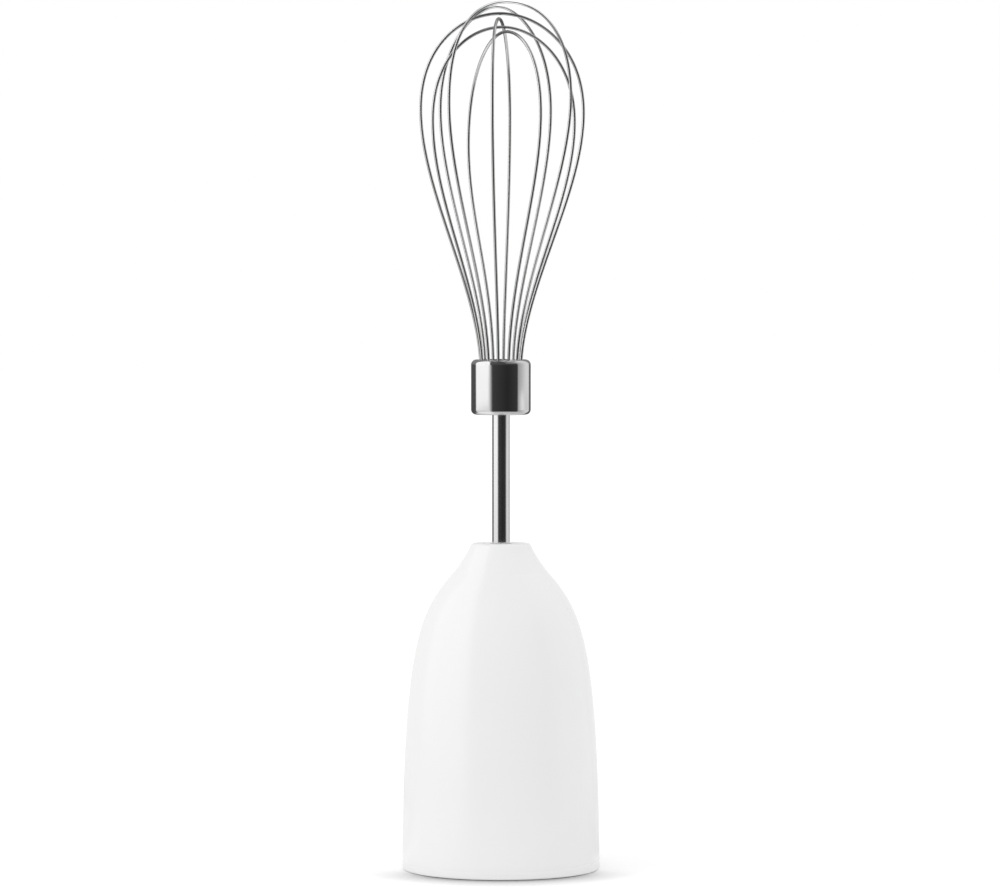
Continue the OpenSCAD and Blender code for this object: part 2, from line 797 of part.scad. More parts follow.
module whisk_shaft() {
    groove_h = 2 * spring_wire_r + 4 * slip_gap;
    snap_groove = 0.5;
    tip = 0.4;
    color("silver")
    difference() {
        union() {
            translate([0, 0, shaft_z + tip]) hex_prism(shaft_af, hex_len - tip);
            translate([0, 0, shaft_z]) cylinder(r1 = shaft_af / 2 - tip, r2 = shaft_af / 2, h = tip + eps);
            translate([0, 0, shaft_z + hex_len]) cylinder(r = shaft_r, h = shaft_top - shaft_z - hex_len);
        }
        translate([0, 0, spring_z - groove_h / 2]) difference() {
            cylinder(r = shaft_r + 1, h = groove_h);
            translate([0, 0, -eps]) cylinder(r = shaft_r - snap_groove, h = groove_h + 1);
        }
    }
}

module ferrule() {
    in_r = ferrule_r - ferrule_t;
    base_in = max(ferrule_base_r - ferrule_t, 0.2);
    top_in = max(ferrule_top_r - ferrule_t, 0.2);
    color("silver")
    rotate_extrude() polygon(concat(
        [[shaft_r + seat_gap, ferrule_z]],
        arc([ferrule_r - ferrule_base_r, ferrule_z + ferrule_base_r], ferrule_base_r, 270, 360),
        arc([ferrule_r - ferrule_top_r, ferrule_top - ferrule_top_r], ferrule_top_r, 0, 90),
        arc([in_r - top_in, ferrule_top - ferrule_t - top_in], top_in, 90, 0),
        arc([in_r - base_in, ferrule_z + ferrule_t + base_in], base_in, 360, 270),
        [[shaft_r + seat_gap, ferrule_z + ferrule_t]]
    ));
}

module wire_holder() {
    color("dimgray")
    difference() {
        union() {
            translate([0, 0, holder_z]) cylinder(r = holder_r, h = holder_top - holder_z - holder_step);
            translate([0, 0, holder_top - holder_step - eps])
                cylinder(r = ferrule_r - ferrule_top_r - slip_gap, h = holder_step + eps);
        }
        translate([0, 0, holder_z - eps])
            cylinder(r = shaft_r + seat_gap, h = shaft_top - holder_z + slip_gap);
        for (i = [0:foot_count - 1]) rotate(first_foot + i * 360 / foot_count)
            translate([foot_r, 0, foot_z - 2 * slip_gap]) cylinder(r = wire_hole_r, h = holder_top, $fn = 24);
    }
}

// Distance from the loop's middle and height, from the foot to the top of one half
function half_loop(start, width, wide_z, top_z, fullness, spread) =
    let (
        out = exit_pull * [sin(spread), cos(spread)],
        foot = [start, ferrule_top],
        waist = [width, wide_z],
        rise = top_z - wide_z
    )
    concat(
        [[start, foot_z], [start, (foot_z + holder_top) / 2], [start, holder_top]],
        [
            for (i = [0:curve_steps - 1])
                bezier(foot, foot + out, waist - [0, waist_pull], waist, i / curve_steps)
        ],
        [
            for (i = [0:curve_steps])
                bezier(
                    waist, waist + [0, crown_pull * rise],
                    [fullness * width, top_z], [0, top_z], i / curve_steps
                )
        ]
    );

// How far a loop leans aside at height z: nothing at the feet, two set amounts above
function lean(z, wide_z, top_z, at_waist, at_top) =
    at_waist * smooth(clamp01((z - ferrule_top) / (wide_z - ferrule_top)))
        + (at_top - at_waist) * pow(clamp01((z - wide_z) / (top_z - wide_z)), 2);

// Both halves of a loop from one placed half: side is 1 or -1
function whole_path(half_a, half_b) =
    concat(half_a, [for (i = [len(half_b) - 2:-1:0]) half_b[i]]);

function cross_half(spec, side) =
    let (top_z = crown_z - spec[3], wide_z = top_z - spec[4] - side * spec[5])
    [
        for (p = half_loop(foot_r, loop_r - spec[2], wide_z, top_z, spec[8], exit_angle))
            let (a = spec[0] + lean(p.y, wide_z, top_z, spec[1], spec[1]))
            [
                side * p.x * cos(a) + lean(p.y, wide_z, top_z, spec[6], spec[7]),
                side * p.x * sin(a),
                p.y
            ]
    ];

function cross_path(spec) = whole_path(cross_half(spec, -1), cross_half(spec, 1));

function side_half(spec, side) =
    let (
        wide_z = crown_z - spec[4] - side * spec[5],
        start = foot_r * sqrt(0.5),
        along = half_loop(start, spec[1], wide_z, crown_z, spec[8], side_exit_angle),
        away = half_loop(start, spec[2], wide_z, crown_z, spec[8], side_exit_angle),
        out = [cos(spec[0]), sin(spec[0])],
        across = [-sin(spec[0]), cos(spec[0])]
    )
    [
        for (i = [0:len(along) - 1])
            let (
                z = along[i].y,
                up = clamp01((z - wide_z) / (crown_z - wide_z)),
                far = up > 0 ? spec[2] + (spec[3] - spec[2]) * up * up : away[i].x,
                flat = far * out + side * along[i].x * across
            )
            [flat.x + lean(z, wide_z, crown_z, spec[6], spec[7]), flat.y, z]
    ];

function side_path(spec) = whole_path(side_half(spec, -1), side_half(spec, 1));

// Round wire swept along a path that lies close to an upright plane
module wire(path, plane_normal) {
    last = len(path) - 1;
    rings = [
        for (i = [0:last])
            let (
                t = unit(path[min(i + 1, last)] - path[max(i - 1, 0)]),
                b = unit(cross(t, plane_normal)),
                n = cross(b, t)
            )
            for (k = [0:wire_sides - 1])
                path[i] + wire_r * (cos(k * 360 / wire_sides) * b + sin(k * 360 / wire_sides) * n)
    ];
    sides = [
        for (i = [0:last - 1], k = [0:wire_sides - 1])
            let (a = i * wire_sides + k, b = i * wire_sides + (k + 1) % wire_sides)
            each [[a, b, b + wire_sides], [a, b + wire_sides, a + wire_sides]]
    ];
    start_cap = [for (k = [wire_sides - 1:-1:0]) k];
    end_cap = [for (k = [0:wire_sides - 1]) last * wire_sides + k];
    polyhedron(points = rings, faces = concat([start_cap], sides, [end_cap]), convexity = 4);
}

module cross_loop(index) {
    spec = CROSS_LOOPS[index];
    color("silver") wire(cross_path(spec), [-sin(spec[0]), cos(spec[0]), 0]);
}

module side_loop(index) {
    spec = SIDE_LOOPS[index];
    color("silver") wire(side_path(spec), [cos(spec[0]), sin(spec[0]), 0]);
}

// ---------------------------------------------------------------- output

housing_shell();
coupling_ring();
ring_screws();
gear_case();
ring_gear();
gear_cover();
unit_screws();
case_gasket();
lower_bush();
upper_bush();
input_bush();
shaft_seal();
drive_coupling();
input_shaft();
input_washer();
input_clip();
sun_gear();
planet_carrier();
retainer_plate();
planet_pins();
output_washer();
output_clip();
shaft_spring();
planet_gear(0);  // planet_gear_1
planet_gear(1);  // planet_gear_2
planet_gear(2);  // planet_gear_3
whisk_shaft();
ferrule();
wire_holder();
cross_loop(0);  // wire_loop_1
cross_loop(1);  // wire_loop_2
cross_loop(2);  // wire_loop_3
cross_loop(3);  // wire_loop_4
side_loop(0);  // wire_loop_5
side_loop(1);  // wire_loop_6
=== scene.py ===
"""The looks of a stick blender's whisk attachment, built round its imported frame."""

import json
import math

import bmesh
import bpy
from bpy.props import FloatProperty, FloatVectorProperty, IntProperty, PointerProperty
from bpy.types import Operator, Panel, PropertyGroup
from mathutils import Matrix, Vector


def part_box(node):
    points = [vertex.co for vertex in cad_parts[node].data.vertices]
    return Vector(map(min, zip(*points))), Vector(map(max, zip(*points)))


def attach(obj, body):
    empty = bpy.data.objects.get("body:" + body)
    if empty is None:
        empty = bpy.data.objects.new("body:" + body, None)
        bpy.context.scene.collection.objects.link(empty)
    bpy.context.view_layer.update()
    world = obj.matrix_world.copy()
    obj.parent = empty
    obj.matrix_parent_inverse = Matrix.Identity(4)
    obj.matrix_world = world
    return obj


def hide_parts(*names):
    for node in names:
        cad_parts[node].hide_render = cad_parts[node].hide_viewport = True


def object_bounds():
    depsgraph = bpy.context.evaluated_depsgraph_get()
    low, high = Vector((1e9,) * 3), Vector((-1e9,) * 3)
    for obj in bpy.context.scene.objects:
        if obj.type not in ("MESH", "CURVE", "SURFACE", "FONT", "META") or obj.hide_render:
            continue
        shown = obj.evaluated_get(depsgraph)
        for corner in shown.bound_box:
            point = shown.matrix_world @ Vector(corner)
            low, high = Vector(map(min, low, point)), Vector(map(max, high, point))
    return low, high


bl_info = {
    "name": "Whisk Attachment",
    "version": (1, 0, 0),
    "blender": (4, 5, 0),
    "location": "View3D > Sidebar > Whisk",
    "description": "Dresses a stick blender's whisk attachment and sets up its studio",
    "category": "Add Mesh",
}

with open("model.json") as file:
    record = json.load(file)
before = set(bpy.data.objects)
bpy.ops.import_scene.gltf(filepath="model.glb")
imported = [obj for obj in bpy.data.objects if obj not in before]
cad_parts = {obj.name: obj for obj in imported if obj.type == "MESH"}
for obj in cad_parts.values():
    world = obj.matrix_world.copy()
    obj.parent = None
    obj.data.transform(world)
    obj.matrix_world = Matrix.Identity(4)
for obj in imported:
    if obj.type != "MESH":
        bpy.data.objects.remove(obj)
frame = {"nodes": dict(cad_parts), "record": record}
CAD_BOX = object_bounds()
MM = 0.001


def radius_of(node):
    """Outer radius of a round CAD node that stands on the axis."""
    low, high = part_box(node)
    return (high.x - low.x) / 2


# ------------------------------------------------------------------ sizes

# Housing outside: edges, leans of neck and shoulder in degrees, and the bend between wall and neck
NECK_RADIUS = 8.7 * MM
RIM_EDGE, NECK_EDGE = 0.6 * MM, 1.0 * MM
NECK_LEAN, SHOULDER_LEAN = 22, 42
BEND_RADIUS, BEND_DROP = 13.7 * MM, 8.5 * MM
# How far the wall's curve and the neck's curve are pulled at their ends
WALL_PULL, WALL_END_PULL = Vector((-0.7, 63.0)) * MM, 15.5 * MM
FLARE_PULL, FLARE_END_PULL = 0.5 * MM, 3.5 * MM

# Housing inside: shaft hole, seal pocket, ceiling, dome, bore of the gear case and its seat
SHAFT_HOLE, SEAL_POCKET, SEAL_DROP = 2.9 * MM, 5.82 * MM, 2.9 * MM
CEILING_RADIUS, CEILING_DROP = 8.5 * MM, 7.2 * MM
SHOULDER_WALL = 2.3 * MM
CASE_BORE, SEAT_HEIGHT = 21.5 * MM, 41.5 * MM
RING_GAP = 0.1 * MM
MOULD_EDGE = 0.25 * MM

# Steps along the housing's rim, wall, flare, neck edge and dome, and round its axis
RIM_STEPS, WALL_STEPS, FLARE_STEPS, NECK_STEPS, DOME_STEPS = 8, 110, 24, 10, 60
HOUSING_SEGMENTS = 192

# Ferrule: wall, outer and inner edges below and above, shaft hole and broken corners
FERRULE_RADIUS, FERRULE_WALL = 8.6 * MM, 0.5 * MM
BASE_EDGE, TOP_EDGE = 1.4 * MM, 1.5 * MM
INNER_BASE_EDGE, INNER_TOP_EDGE = 0.9 * MM, 1.0 * MM
FERRULE_HOLE, FERRULE_CORNER = 2.52 * MM, 0.12 * MM
# Steps along its outer edges below and above, and round its axis
BASE_STEPS, TOP_STEPS, FERRULE_SEGMENTS = 16, 18, 160

# Drawn wire
WIRE_RADIUS, WIRE_SIDES, WIRE_SPACING = 0.45 * MM, 20, 1.0 * MM

# Pan head screws: head, cross slots and thread
HEAD_RADIUS, HEAD_HEIGHT, SLOT_WIDTH = 1.7 * MM, 1.4 * MM, 0.5 * MM
THREAD_RADIUS, THREAD_LENGTH, PITCH = 0.9 * MM, 4.7 * MM, 0.6 * MM
# Start of the core as a share of the head's height; core and ridge as shares of the thread's radius
CORE_START, CORE_SHARE, RIDGE_SHARE = 0.9, 0.8, 0.19
# How much the head narrows at its face, and the slots' length, as shares of its radius
HEAD_NARROWING, SLOT_LENGTH = 0.2, 1.2
# Sides and rows of the head, sides of the core, steps in a turn of the ridge and its sides
HEAD_SIDES, HEAD_ROWS, CORE_SIDES, TURN_STEPS, RIDGE_SIDES = 40, 6, 24, 24, 6
# How many screws, azimuth of the first, and the angle past which their edges stay sharp
SCREW_COUNT, FIRST_SCREW, SCREW_SHARP = 3, 60, 30


# ------------------------------------------------------------------ settings


class HousingSettings(PropertyGroup):
    mouth_radius: FloatProperty(
        name="Mouth radius", description="Outer radius at the mouth rim",
        default=-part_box("housing_shell")[0].x, min=0.01, unit="LENGTH",
    )
    height: FloatProperty(
        name="Height", description="From the mouth rim to the top of the neck",
        default=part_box("housing_shell")[1].z, min=0.05, unit="LENGTH",
    )
    neck_radius: FloatProperty(
        name="Neck radius", description="Outer radius of the neck below its rounded edge",
        default=NECK_RADIUS, min=0.005, unit="LENGTH",
    )
    colour: FloatVectorProperty(
        name="Plastic colour", description="Colour of the moulded housing",
        default=(0.87, 0.87, 0.87), size=3, min=0, max=1, subtype="COLOR",
    )
    roughness: FloatProperty(
        name="Roughness", description="Roughness of the polished mould surface",
        default=0.2, min=0, max=1, subtype="FACTOR",
    )


class WhiskSettings(PropertyGroup):
    wire_radius: FloatProperty(
        name="Wire radius", description="Radius of the drawn wire",
        default=WIRE_RADIUS, min=0.0001, unit="LENGTH",
    )
    wire_sides: IntProperty(
        name="Wire sides", description="Sides of the wire's round section",
        default=WIRE_SIDES, min=8,
    )
    wire_spacing: FloatProperty(
        name="Wire spacing", description="Distance between rings along the wire",
        default=WIRE_SPACING, min=0.0002, unit="LENGTH",
    )
    ferrule_radius: FloatProperty(
        name="Ferrule radius", description="Outer radius of the ferrule",
        default=FERRULE_RADIUS, min=0.003, unit="LENGTH",
    )
    steel: FloatVectorProperty(
        name="Steel colour", description="Colour of the polished steel",
        default=(0.62, 0.62, 0.62), size=3, min=0, max=1, subtype="COLOR",
    )
    polish: FloatProperty(
        name="Polish roughness", description="Roughness of the polished steel",
        default=0.06, min=0, max=1, subtype="FACTOR",
    )


class StudioSettings(PropertyGroup):
    floor_colour: FloatVectorProperty(
        name="Floor colour", description="Colour of the plain floor",
        default=(0.90, 0.90, 0.90), size=3, min=0, max=1, subtype="COLOR",
    )
    dome_level: FloatProperty(
        name="Dome level", description="Strength of the soft light from all round",
        default=0.97, min=0, soft_max=2,
    )
    key_power: FloatProperty(
        name="Key power", description="Power of the large lamp on the left",
        default=2.4, min=0, unit="POWER",
    )


# ------------------------------------------------------------------ shader maths


class Flow:
    """A socket of a node tree; arithmetic on it adds Math nodes."""

    def __init__(self, recipe, socket):
        self.recipe = recipe
        self.socket = socket

    def out(self, name):
        """Another output of the same node."""
        return Flow(self.recipe, self.socket.node.outputs[name])

    def _math(self, operation, first, second):
        return self.recipe.node(
            "ShaderNodeMath", {"operation": operation}, {0: first, 1: second}
        )

    def __add__(self, other):
        return self._math("ADD", self, other)

    def __radd__(self, other):
        return self._math("ADD", other, self)

    def __sub__(self, other):
        return self._math("SUBTRACT", self, other)

    def __rsub__(self, other):
        return self._math("SUBTRACT", other, self)

    def __mul__(self, other):
        return self._math("MULTIPLY", self, other)

    def __rmul__(self, other):
        return self._math("MULTIPLY", other, self)

    def __truediv__(self, other):
        return self._math("DIVIDE", self, other)

    def either(self, other):
        """The greater of two values."""
        return self._math("MAXIMUM", self, other)

    def above(self, edge, width):
        """0 below the edge and 1 above it, with a soft step of the given width."""
        return self.recipe.node(
            "ShaderNodeMapRange", {"interpolation_type": "SMOOTHSTEP"},
            {"Value": self, "From Min": edge - width / 2, "From Max": edge + width / 2},
        )


class Recipe:
    """A node tree, with one way of adding any node."""

    def __init__(self, tree):
        self.tree = tree
        tree.nodes.clear()

    def feed(self, socket, value):
        """Links a flow to a socket, or sets its value; a colour of three parts gets an alpha."""
        if isinstance(value, Flow):
            self.tree.links.new(value.socket, socket)
        elif hasattr(socket.default_value, "__len__") and len(value) == 3:
            socket.default_value = (*value, 1.0)[: len(socket.default_value)]
        else:
            socket.default_value = value

    def node(self, kind, settings=None, sockets=None, output=0):
        """Adds a node: settings first, then values or links, and returns one output."""
        made = self.tree.nodes.new(kind)
        for key, value in (settings or {}).items():
            setattr(made, key, value)
        for key, value in (sockets or {}).items():
            self.feed(made.inputs[key], value)
        return Flow(self, made.outputs[output]) if len(made.outputs) else None


class Finish(Recipe):
    """A procedural material round one Principled shader."""

    def __init__(self, name, constants):
        self.material = bpy.data.materials.new(name)
        self.material.use_nodes = True
        super().__init__(self.material.node_tree)
        surface = self.node("ShaderNodeBsdfPrincipled", None, constants)
        self.shader = surface.socket.node
        self.node("ShaderNodeOutputMaterial", None, {"Surface": surface})
        self.place = self.node("ShaderNodeTexCoord", output="Object")

    def stretched(self, scale):
        """Object coordinates multiplied by a scale on each axis."""
        return self.node("ShaderNodeMapping", None, {"Vector": self.place, "Scale": scale})

    def noise(self, scale, detail=2.0, roughness=0.5, where=None):
        """Fractal noise from 0 to 1, on Object coordinates unless told where."""
        where = where or self.place
        return self.node(
            "ShaderNodeTexNoise", None,
            {"Vector": where, "Scale": scale, "Detail": detail, "Roughness": roughness},
        )

    def blend(self, factor, first, second):
        """Mixes two colours by a number."""
        return self.node(
            "ShaderNodeMix", {"data_type": "RGBA"}, {0: factor, 6: first, 7: second}, 2
        )

    def wear(self, colour, roughness, height, depth):
        """Connects what varies over the surface, with a bump of the given depth."""
        bump = self.node("ShaderNodeBump", None, {"Height": height, "Distance": depth})
        self.feed(self.shader.inputs["Base Color"], colour)
        self.feed(self.shader.inputs["Roughness"], roughness)
        self.feed(self.shader.inputs["Normal"], bump)
        return self.material


def scaled(colour, times):
    """A colour made lighter or darker."""
    return tuple(min(1.0, part * times) for part in colour)


def empty_material(name):
    """A material with no nodes yet, and the recipe that fills it."""
    material = bpy.data.materials.new(name)
    material.use_nodes = True
    return material, Recipe(material.node_tree)


# ------------------------------------------------------------------ finishes

# Stretch of a pattern on each axis: lines around the axis, lines along it, patches, drawn wire
AROUND = (60.0, 60.0, 9000.0)
ALONG = (7000.0, 7000.0, 40.0)
EVENLY = (900.0, 900.0, 900.0)
DRAWN = (900.0, 900.0, 120.0)

# Where the housing's rim is duller and carries painted shade near the floor, and the flat top of
# its neck is duller: height, and width of the change
RIM_DULL_AND_SHADE, RIM_BLEND = 2.5 * MM, 4 * MM
TOP_DULL, TOP_BLEND = 0.3 * MM, 0.4 * MM


def gloss_housing(settings):
    """White plastic from a polished mould: a hint of flow, faint ripple, handling smears,
    and painted shade at the rim.
    """
    finish = Finish("housing_gloss_white", {"IOR": 1.48})
    flow = finish.noise(26.0, 3.0)
    smears = finish.noise(55.0, 5.0, 0.65, finish.stretched((1.0, 1.0, 0.35)))
    ripple = finish.noise(420.0, 2.0)
    height = finish.node("ShaderNodeSeparateXYZ", None, {0: finish.place}, "Z")
    rim = 1 - height.above(RIM_DULL_AND_SHADE, RIM_BLEND)
    top = height.above(settings.height - TOP_DULL, TOP_BLEND)
    colour = finish.blend(flow, scaled(settings.colour, 0.99), scaled(settings.colour, 1.01))
    # Painted shade: the colour darkens towards the rim, where the housing stands on the floor; the
    # rim's extra roughness is real
    colour = finish.blend(rim * 0.25, colour, scaled(settings.colour, 0.93))
    rough = smears.above(0.6, 0.25) * 0.05 + settings.roughness + rim * 0.12 + top * 0.65
    return finish.wear(colour, rough, ripple, 0.012 * MM)


def polished_steel(name, settings, lines, haze, dull=0.0, painted_lift=1.0):
    """Buffed stainless steel: fine polishing lines, a few faint wipes and a soft haze."""
    # The last factor lightens one piece's copy of the steel: painted light that brightens its
    # reflections
    darker, lighter = scaled(settings.steel, 0.97 * painted_lift), scaled(settings.steel, 1.03 * painted_lift)
    finish = Finish(name, {"Metallic": 1.0})
    fine = finish.noise(1.0, 3.0, 0.6, finish.stretched(lines))
    wipes = finish.noise(140.0, 4.0, 0.6, finish.stretched((1.0, 1.0, 0.3)))
    rough = settings.polish + dull + haze * wipes.above(0.58, 0.3) + fine * 0.03
    return finish.wear(finish.blend(fine, darker, lighter), rough, fine, 0.0007 * MM)


def moulded(name, colour, grain, roughness, depth=0.02 * MM, mottle=0.04):
    """Moulded engineering plastic with a fine spark-eroded grain and flow marks."""
    finish = Finish(name, {"IOR": 1.5})
    texture = finish.noise(grain, 3.0, 0.6)
    flow = finish.noise(70.0, 3.0)
    tint = finish.blend(flow, scaled(colour, 1 - mottle), scaled(colour, 1 + mottle))
    rough = roughness - 0.04 + texture * 0.08 + flow.above(0.55, 0.3) * 0.05
    return finish.wear(tint, rough, texture, depth)


def machined(name, colour, lines, roughness=0.28):
    """Turned or plated metal with tool lines and slightly duller patches."""
    finish = Finish(name, {"Metallic": 1.0})
    cuts = finish.noise(1.0, 2.0, 0.5, finish.stretched(lines))
    patches = finish.noise(240.0, 4.0, 0.6)
    tint = finish.blend(patches.above(0.56, 0.25), colour, scaled(colour, 0.88))
    rough = roughness + cuts * 0.1 + patches.above(0.55, 0.3) * 0.08
    return finish.wear(tint, rough, cuts, 0.006 * MM)


def zinc_plate(name):
    """Zinc plated steel of the fasteners."""
    return machined(name, (0.58, 0.60, 0.62), EVENLY, 0.3)


def sintered(name, colour):
    """Oil-soaked sintered bronze: open grains and darker pores."""
    finish = Finish(name, {"Metallic": 0.9})
    grains = finish.node(
        "ShaderNodeTexVoronoi", None, {"Vector": finish.place, "Scale": 3200.0}, "Distance"
    )
    pores = 1 - grains.above(0.22, 0.2)
    oil = finish.noise(160.0, 3.0)
    oiled = finish.blend(oil, scaled(colour, 0.85), scaled(colour, 1.1))
    tint = finish.blend(pores * 0.6, oiled, scaled(colour, 0.35))
    return finish.wear(tint, 0.32 + pores * 0.3 + oil * 0.08, grains, 0.01 * MM)


def rubber(name, colour):
    """Moulded rubber: matte, slightly dusty, with a fine skin."""
    finish = Finish(name, {"IOR": 1.5})
    skin = finish.noise(3600.0, 2.0)
    dust = finish.noise(210.0, 5.0, 0.7)
    dusty = tuple(part + 0.06 for part in colour)
    tint = finish.blend(dust.above(0.58, 0.3) * 0.5, colour, dusty)
    return finish.wear(tint, 0.68 + skin * 0.12, skin, 0.01 * MM)


def slot_finishes(whisk):
    """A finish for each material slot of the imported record."""
    grey, black, dark = (0.05, 0.05, 0.055), (0.022, 0.022, 0.025), (0.075, 0.08, 0.09)
    return {
        "ring_white": moulded("ring_satin_white", (0.80, 0.80, 0.79), 2400.0, 0.38, 0.012 * MM),
        "case_nylon": moulded("case_natural_nylon", (0.71, 0.70, 0.66), 2000.0, 0.5),
        "gear_acetal": moulded("gear_acetal_ivory", (0.80, 0.78, 0.70), 3000.0, 0.34, 0.008 * MM),
        "carrier_nylon": moulded("carrier_filled_nylon", dark, 2600.0, 0.42, mottle=0.2),
        "coupling_black": moulded("coupling_black_nylon", black, 2600.0, 0.4, mottle=0.15),
        "holder_grey": moulded("holder_dark_nylon", grey, 2800.0, 0.45, mottle=0.15),
        "bush_bronze": sintered("bush_sintered_bronze", (0.55, 0.33, 0.15)),
        "sun_brass": machined("sun_hobbed_brass", (0.72, 0.53, 0.22), ALONG),
        "fastener_steel": zinc_plate("fastener_zinc_plate"),
        "turned_steel": machined("turned_steel", (0.56, 0.56, 0.57), AROUND),
        "seal_rubber": rubber("seal_black_rubber", (0.02, 0.02, 0.02)),
        # The shaft gets a lighter copy of the same steel: painted light that brightens its
        # reflections
        "polished_steel": polished_steel("shaft_polished_steel", whisk, AROUND, 0.06, 0.04, 1.06),
    }


# ------------------------------------------------------------------ shapes

# Angle in degrees past which an edge stays sharp, and distance within which vertices merge
SHARP, MERGE = 28.0, 1e-7
# Part of a curve on each side of a point over which its slope is taken
SLOPE_STEP = 0.01


def bezier(a, b, c, d, t):
    """Point at t on the cubic curve from a to d."""
    u = 1 - t
    return u**3 * a + 3 * u * u * t * b + 3 * u * t * t * c + t**3 * d


def arc(centre, radius, start, end, steps=10):
    """Points on an arc in the plane of radius and height, with angles in degrees."""
    turns = [math.radians(start + (end - start) * i / steps) for i in range(steps + 1)]
    return [centre + radius * Vector((math.cos(a), math.sin(a))) for a in turns]


def eased(outline, corners, radius, steps=4):
    """Rounds the named corners of a closed outline with short quadratic curves."""
    made = []
    for i, point in enumerate(outline):
        if i not in corners:
            made.append(point)
            continue
        before = (outline[i - 1] - point).normalized() * radius
        after = (outline[(i + 1) % len(outline)] - point).normalized() * radius
        for k in range(steps + 1):
            t = k / steps
            made.append(point + (1 - t) ** 2 * before + t * t * after)
    return made


def placed(name, data):
    """A new object at the origin of the scene."""
    made = bpy.data.objects.new(name, data)
    bpy.context.scene.collection.objects.link(made)
    return made


def turned(name, outline, finish, segments):
    """A body of revolution about the Z axis from a closed outline of radius and height."""
    mesh = bpy.data.meshes.new(name)
    work = bmesh.new()
    turns = [2 * math.pi * k / segments for k in range(segments)]
    rings = [
        [work.verts.new((p.x * math.cos(a), p.x * math.sin(a), p.y)) for a in turns]
        for p in outline
    ]
    for lower, upper in zip(rings, rings[1:] + rings[:1]):
        for k in range(segments):
            j = (k + 1) % segments
            work.faces.new((lower[k], lower[j], upper[j], upper[k]))
    bmesh.ops.remove_doubles(work, verts=work.verts, dist=MERGE)
    bmesh.ops.recalc_face_normals(work, faces=work.faces)
    work.to_mesh(mesh)
    work.free()
    mesh.shade_smooth()
    mesh.set_sharp_from_angle(angle=math.radians(SHARP))
    mesh.materials.append(finish)
    return placed(name, mesh)


def inward(curve, t, depth):
    """Point of a curve moved towards the axis by a depth."""
    after, before = bezier(*curve, min(t + SLOPE_STEP, 1.0)), bezier(*curve, t - SLOPE_STEP)
    along = (after - before).normalized()
    return bezier(*curve, t) + depth * Vector((-along.y, along.x))


def housing_outline(settings):
    """Section of the housing shell: rim, wall, shoulder, flare, neck and the hollow inside."""
    height, mouth, neck = settings.height, settings.mouth_radius, settings.neck_radius
    neck_lean, shoulder_lean = math.radians(NECK_LEAN), math.radians(SHOULDER_LEAN)
    bend = Vector((BEND_RADIUS, height - BEND_DROP))
    bend_way = Vector((-math.sin(shoulder_lean), math.cos(shoulder_lean)))
    neck_point = Vector((neck, height - NECK_EDGE * (1 - math.sin(neck_lean))))
    neck_way = Vector((math.sin(neck_lean), -math.cos(neck_lean)))
    start = Vector((mouth, RIM_EDGE))
    wall = (start, start + WALL_PULL, bend - WALL_END_PULL * bend_way, bend)
    flare = (
        bend, bend + FLARE_PULL * bend_way, neck_point + FLARE_END_PULL * neck_way, neck_point
    )
    edge_centre = neck_point - NECK_EDGE * Vector((math.cos(neck_lean), math.sin(neck_lean)))
    outside = arc(Vector((mouth - RIM_EDGE, RIM_EDGE)), RIM_EDGE, 270, 360, RIM_STEPS)
    outside += [bezier(*wall, i / WALL_STEPS) for i in range(1, WALL_STEPS + 1)]
    outside += [bezier(*flare, i / FLARE_STEPS) for i in range(1, FLARE_STEPS + 1)]
    outside += arc(edge_centre, NECK_EDGE, NECK_LEAN, 90, NECK_STEPS)[1:]

    ceiling, seal_top = height - CEILING_DROP, height - SEAL_DROP
    hollow = [Vector((SHAFT_HOLE, height)), Vector((SHAFT_HOLE, seal_top))]
    hollow += [Vector((SEAL_POCKET, seal_top)), Vector((SEAL_POCKET, ceiling))]
    hollow += [Vector((CEILING_RADIUS, ceiling))]
    dome = [inward(wall, i / DOME_STEPS, SHOULDER_WALL) for i in range(DOME_STEPS, 0, -1)]
    for point, above in zip(dome, dome[:1] + dome):
        if above.x < CASE_BORE:
            hollow.append(Vector((min(point.x, CASE_BORE), point.y)))
    bore = radius_of("coupling_ring") + RING_GAP
    hollow += [Vector((CASE_BORE, SEAT_HEIGHT)), Vector((bore, SEAT_HEIGHT)), Vector((bore, 0.0))]
    outline = outside + hollow
    return eased(outline, {len(outside), len(outline) - 1}, MOULD_EDGE)


def ferrule_outline(settings):
    """Section of the drawn steel ferrule, open at the top and pierced for the shaft."""
    low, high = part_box("ferrule")
    radius, wall = settings.ferrule_radius, FERRULE_WALL
    inner = radius - wall
    centre = Vector((radius - BASE_EDGE, low.z + BASE_EDGE))
    outside = arc(centre, BASE_EDGE, 270, 360, BASE_STEPS)
    centre = Vector((radius - TOP_EDGE, high.z - TOP_EDGE))
    outside += arc(centre, TOP_EDGE, 0, 90, TOP_STEPS)
    centre = Vector((inner - INNER_TOP_EDGE, high.z - wall - INNER_TOP_EDGE))
    inside = arc(centre, INNER_TOP_EDGE, 90, 0)
    centre = Vector((inner - INNER_BASE_EDGE, low.z + wall + INNER_BASE_EDGE))
    inside += arc(centre, INNER_BASE_EDGE, 360, 270)
    hole = [Vector((FERRULE_HOLE, low.z + wall)), Vector((FERRULE_HOLE, low.z))]
    outline = outside + inside + hole
    return eased(outline, {len(outside) - 1, len(outline) - 1}, FERRULE_CORNER)


# ------------------------------------------------------------------ wire paths

FERRULE_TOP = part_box("ferrule")[1].z
HOLDER_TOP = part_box("wire_holder")[1].z
CROWN = CAD_BOX[1].z - WIRE_RADIUS
FOOT_CIRCLE = 5.9 * MM
FOOT_DEPTH = 9.0 * MM
WIDEST = 23.8 * MM
FIRST_FOOT = -7.5

# Angle in degrees at which a wire leaves its foot, the pulls of its curve at the foot and below
# the widest point, and the pull above that point as a share of the height that is left
FOOT_ANGLE, SIDE_FOOT_ANGLE = 4.2, 2.3
FOOT_PULL, WAIST_PULL, CROWN_PULL = 23 * MM, 22.5 * MM, 0.68

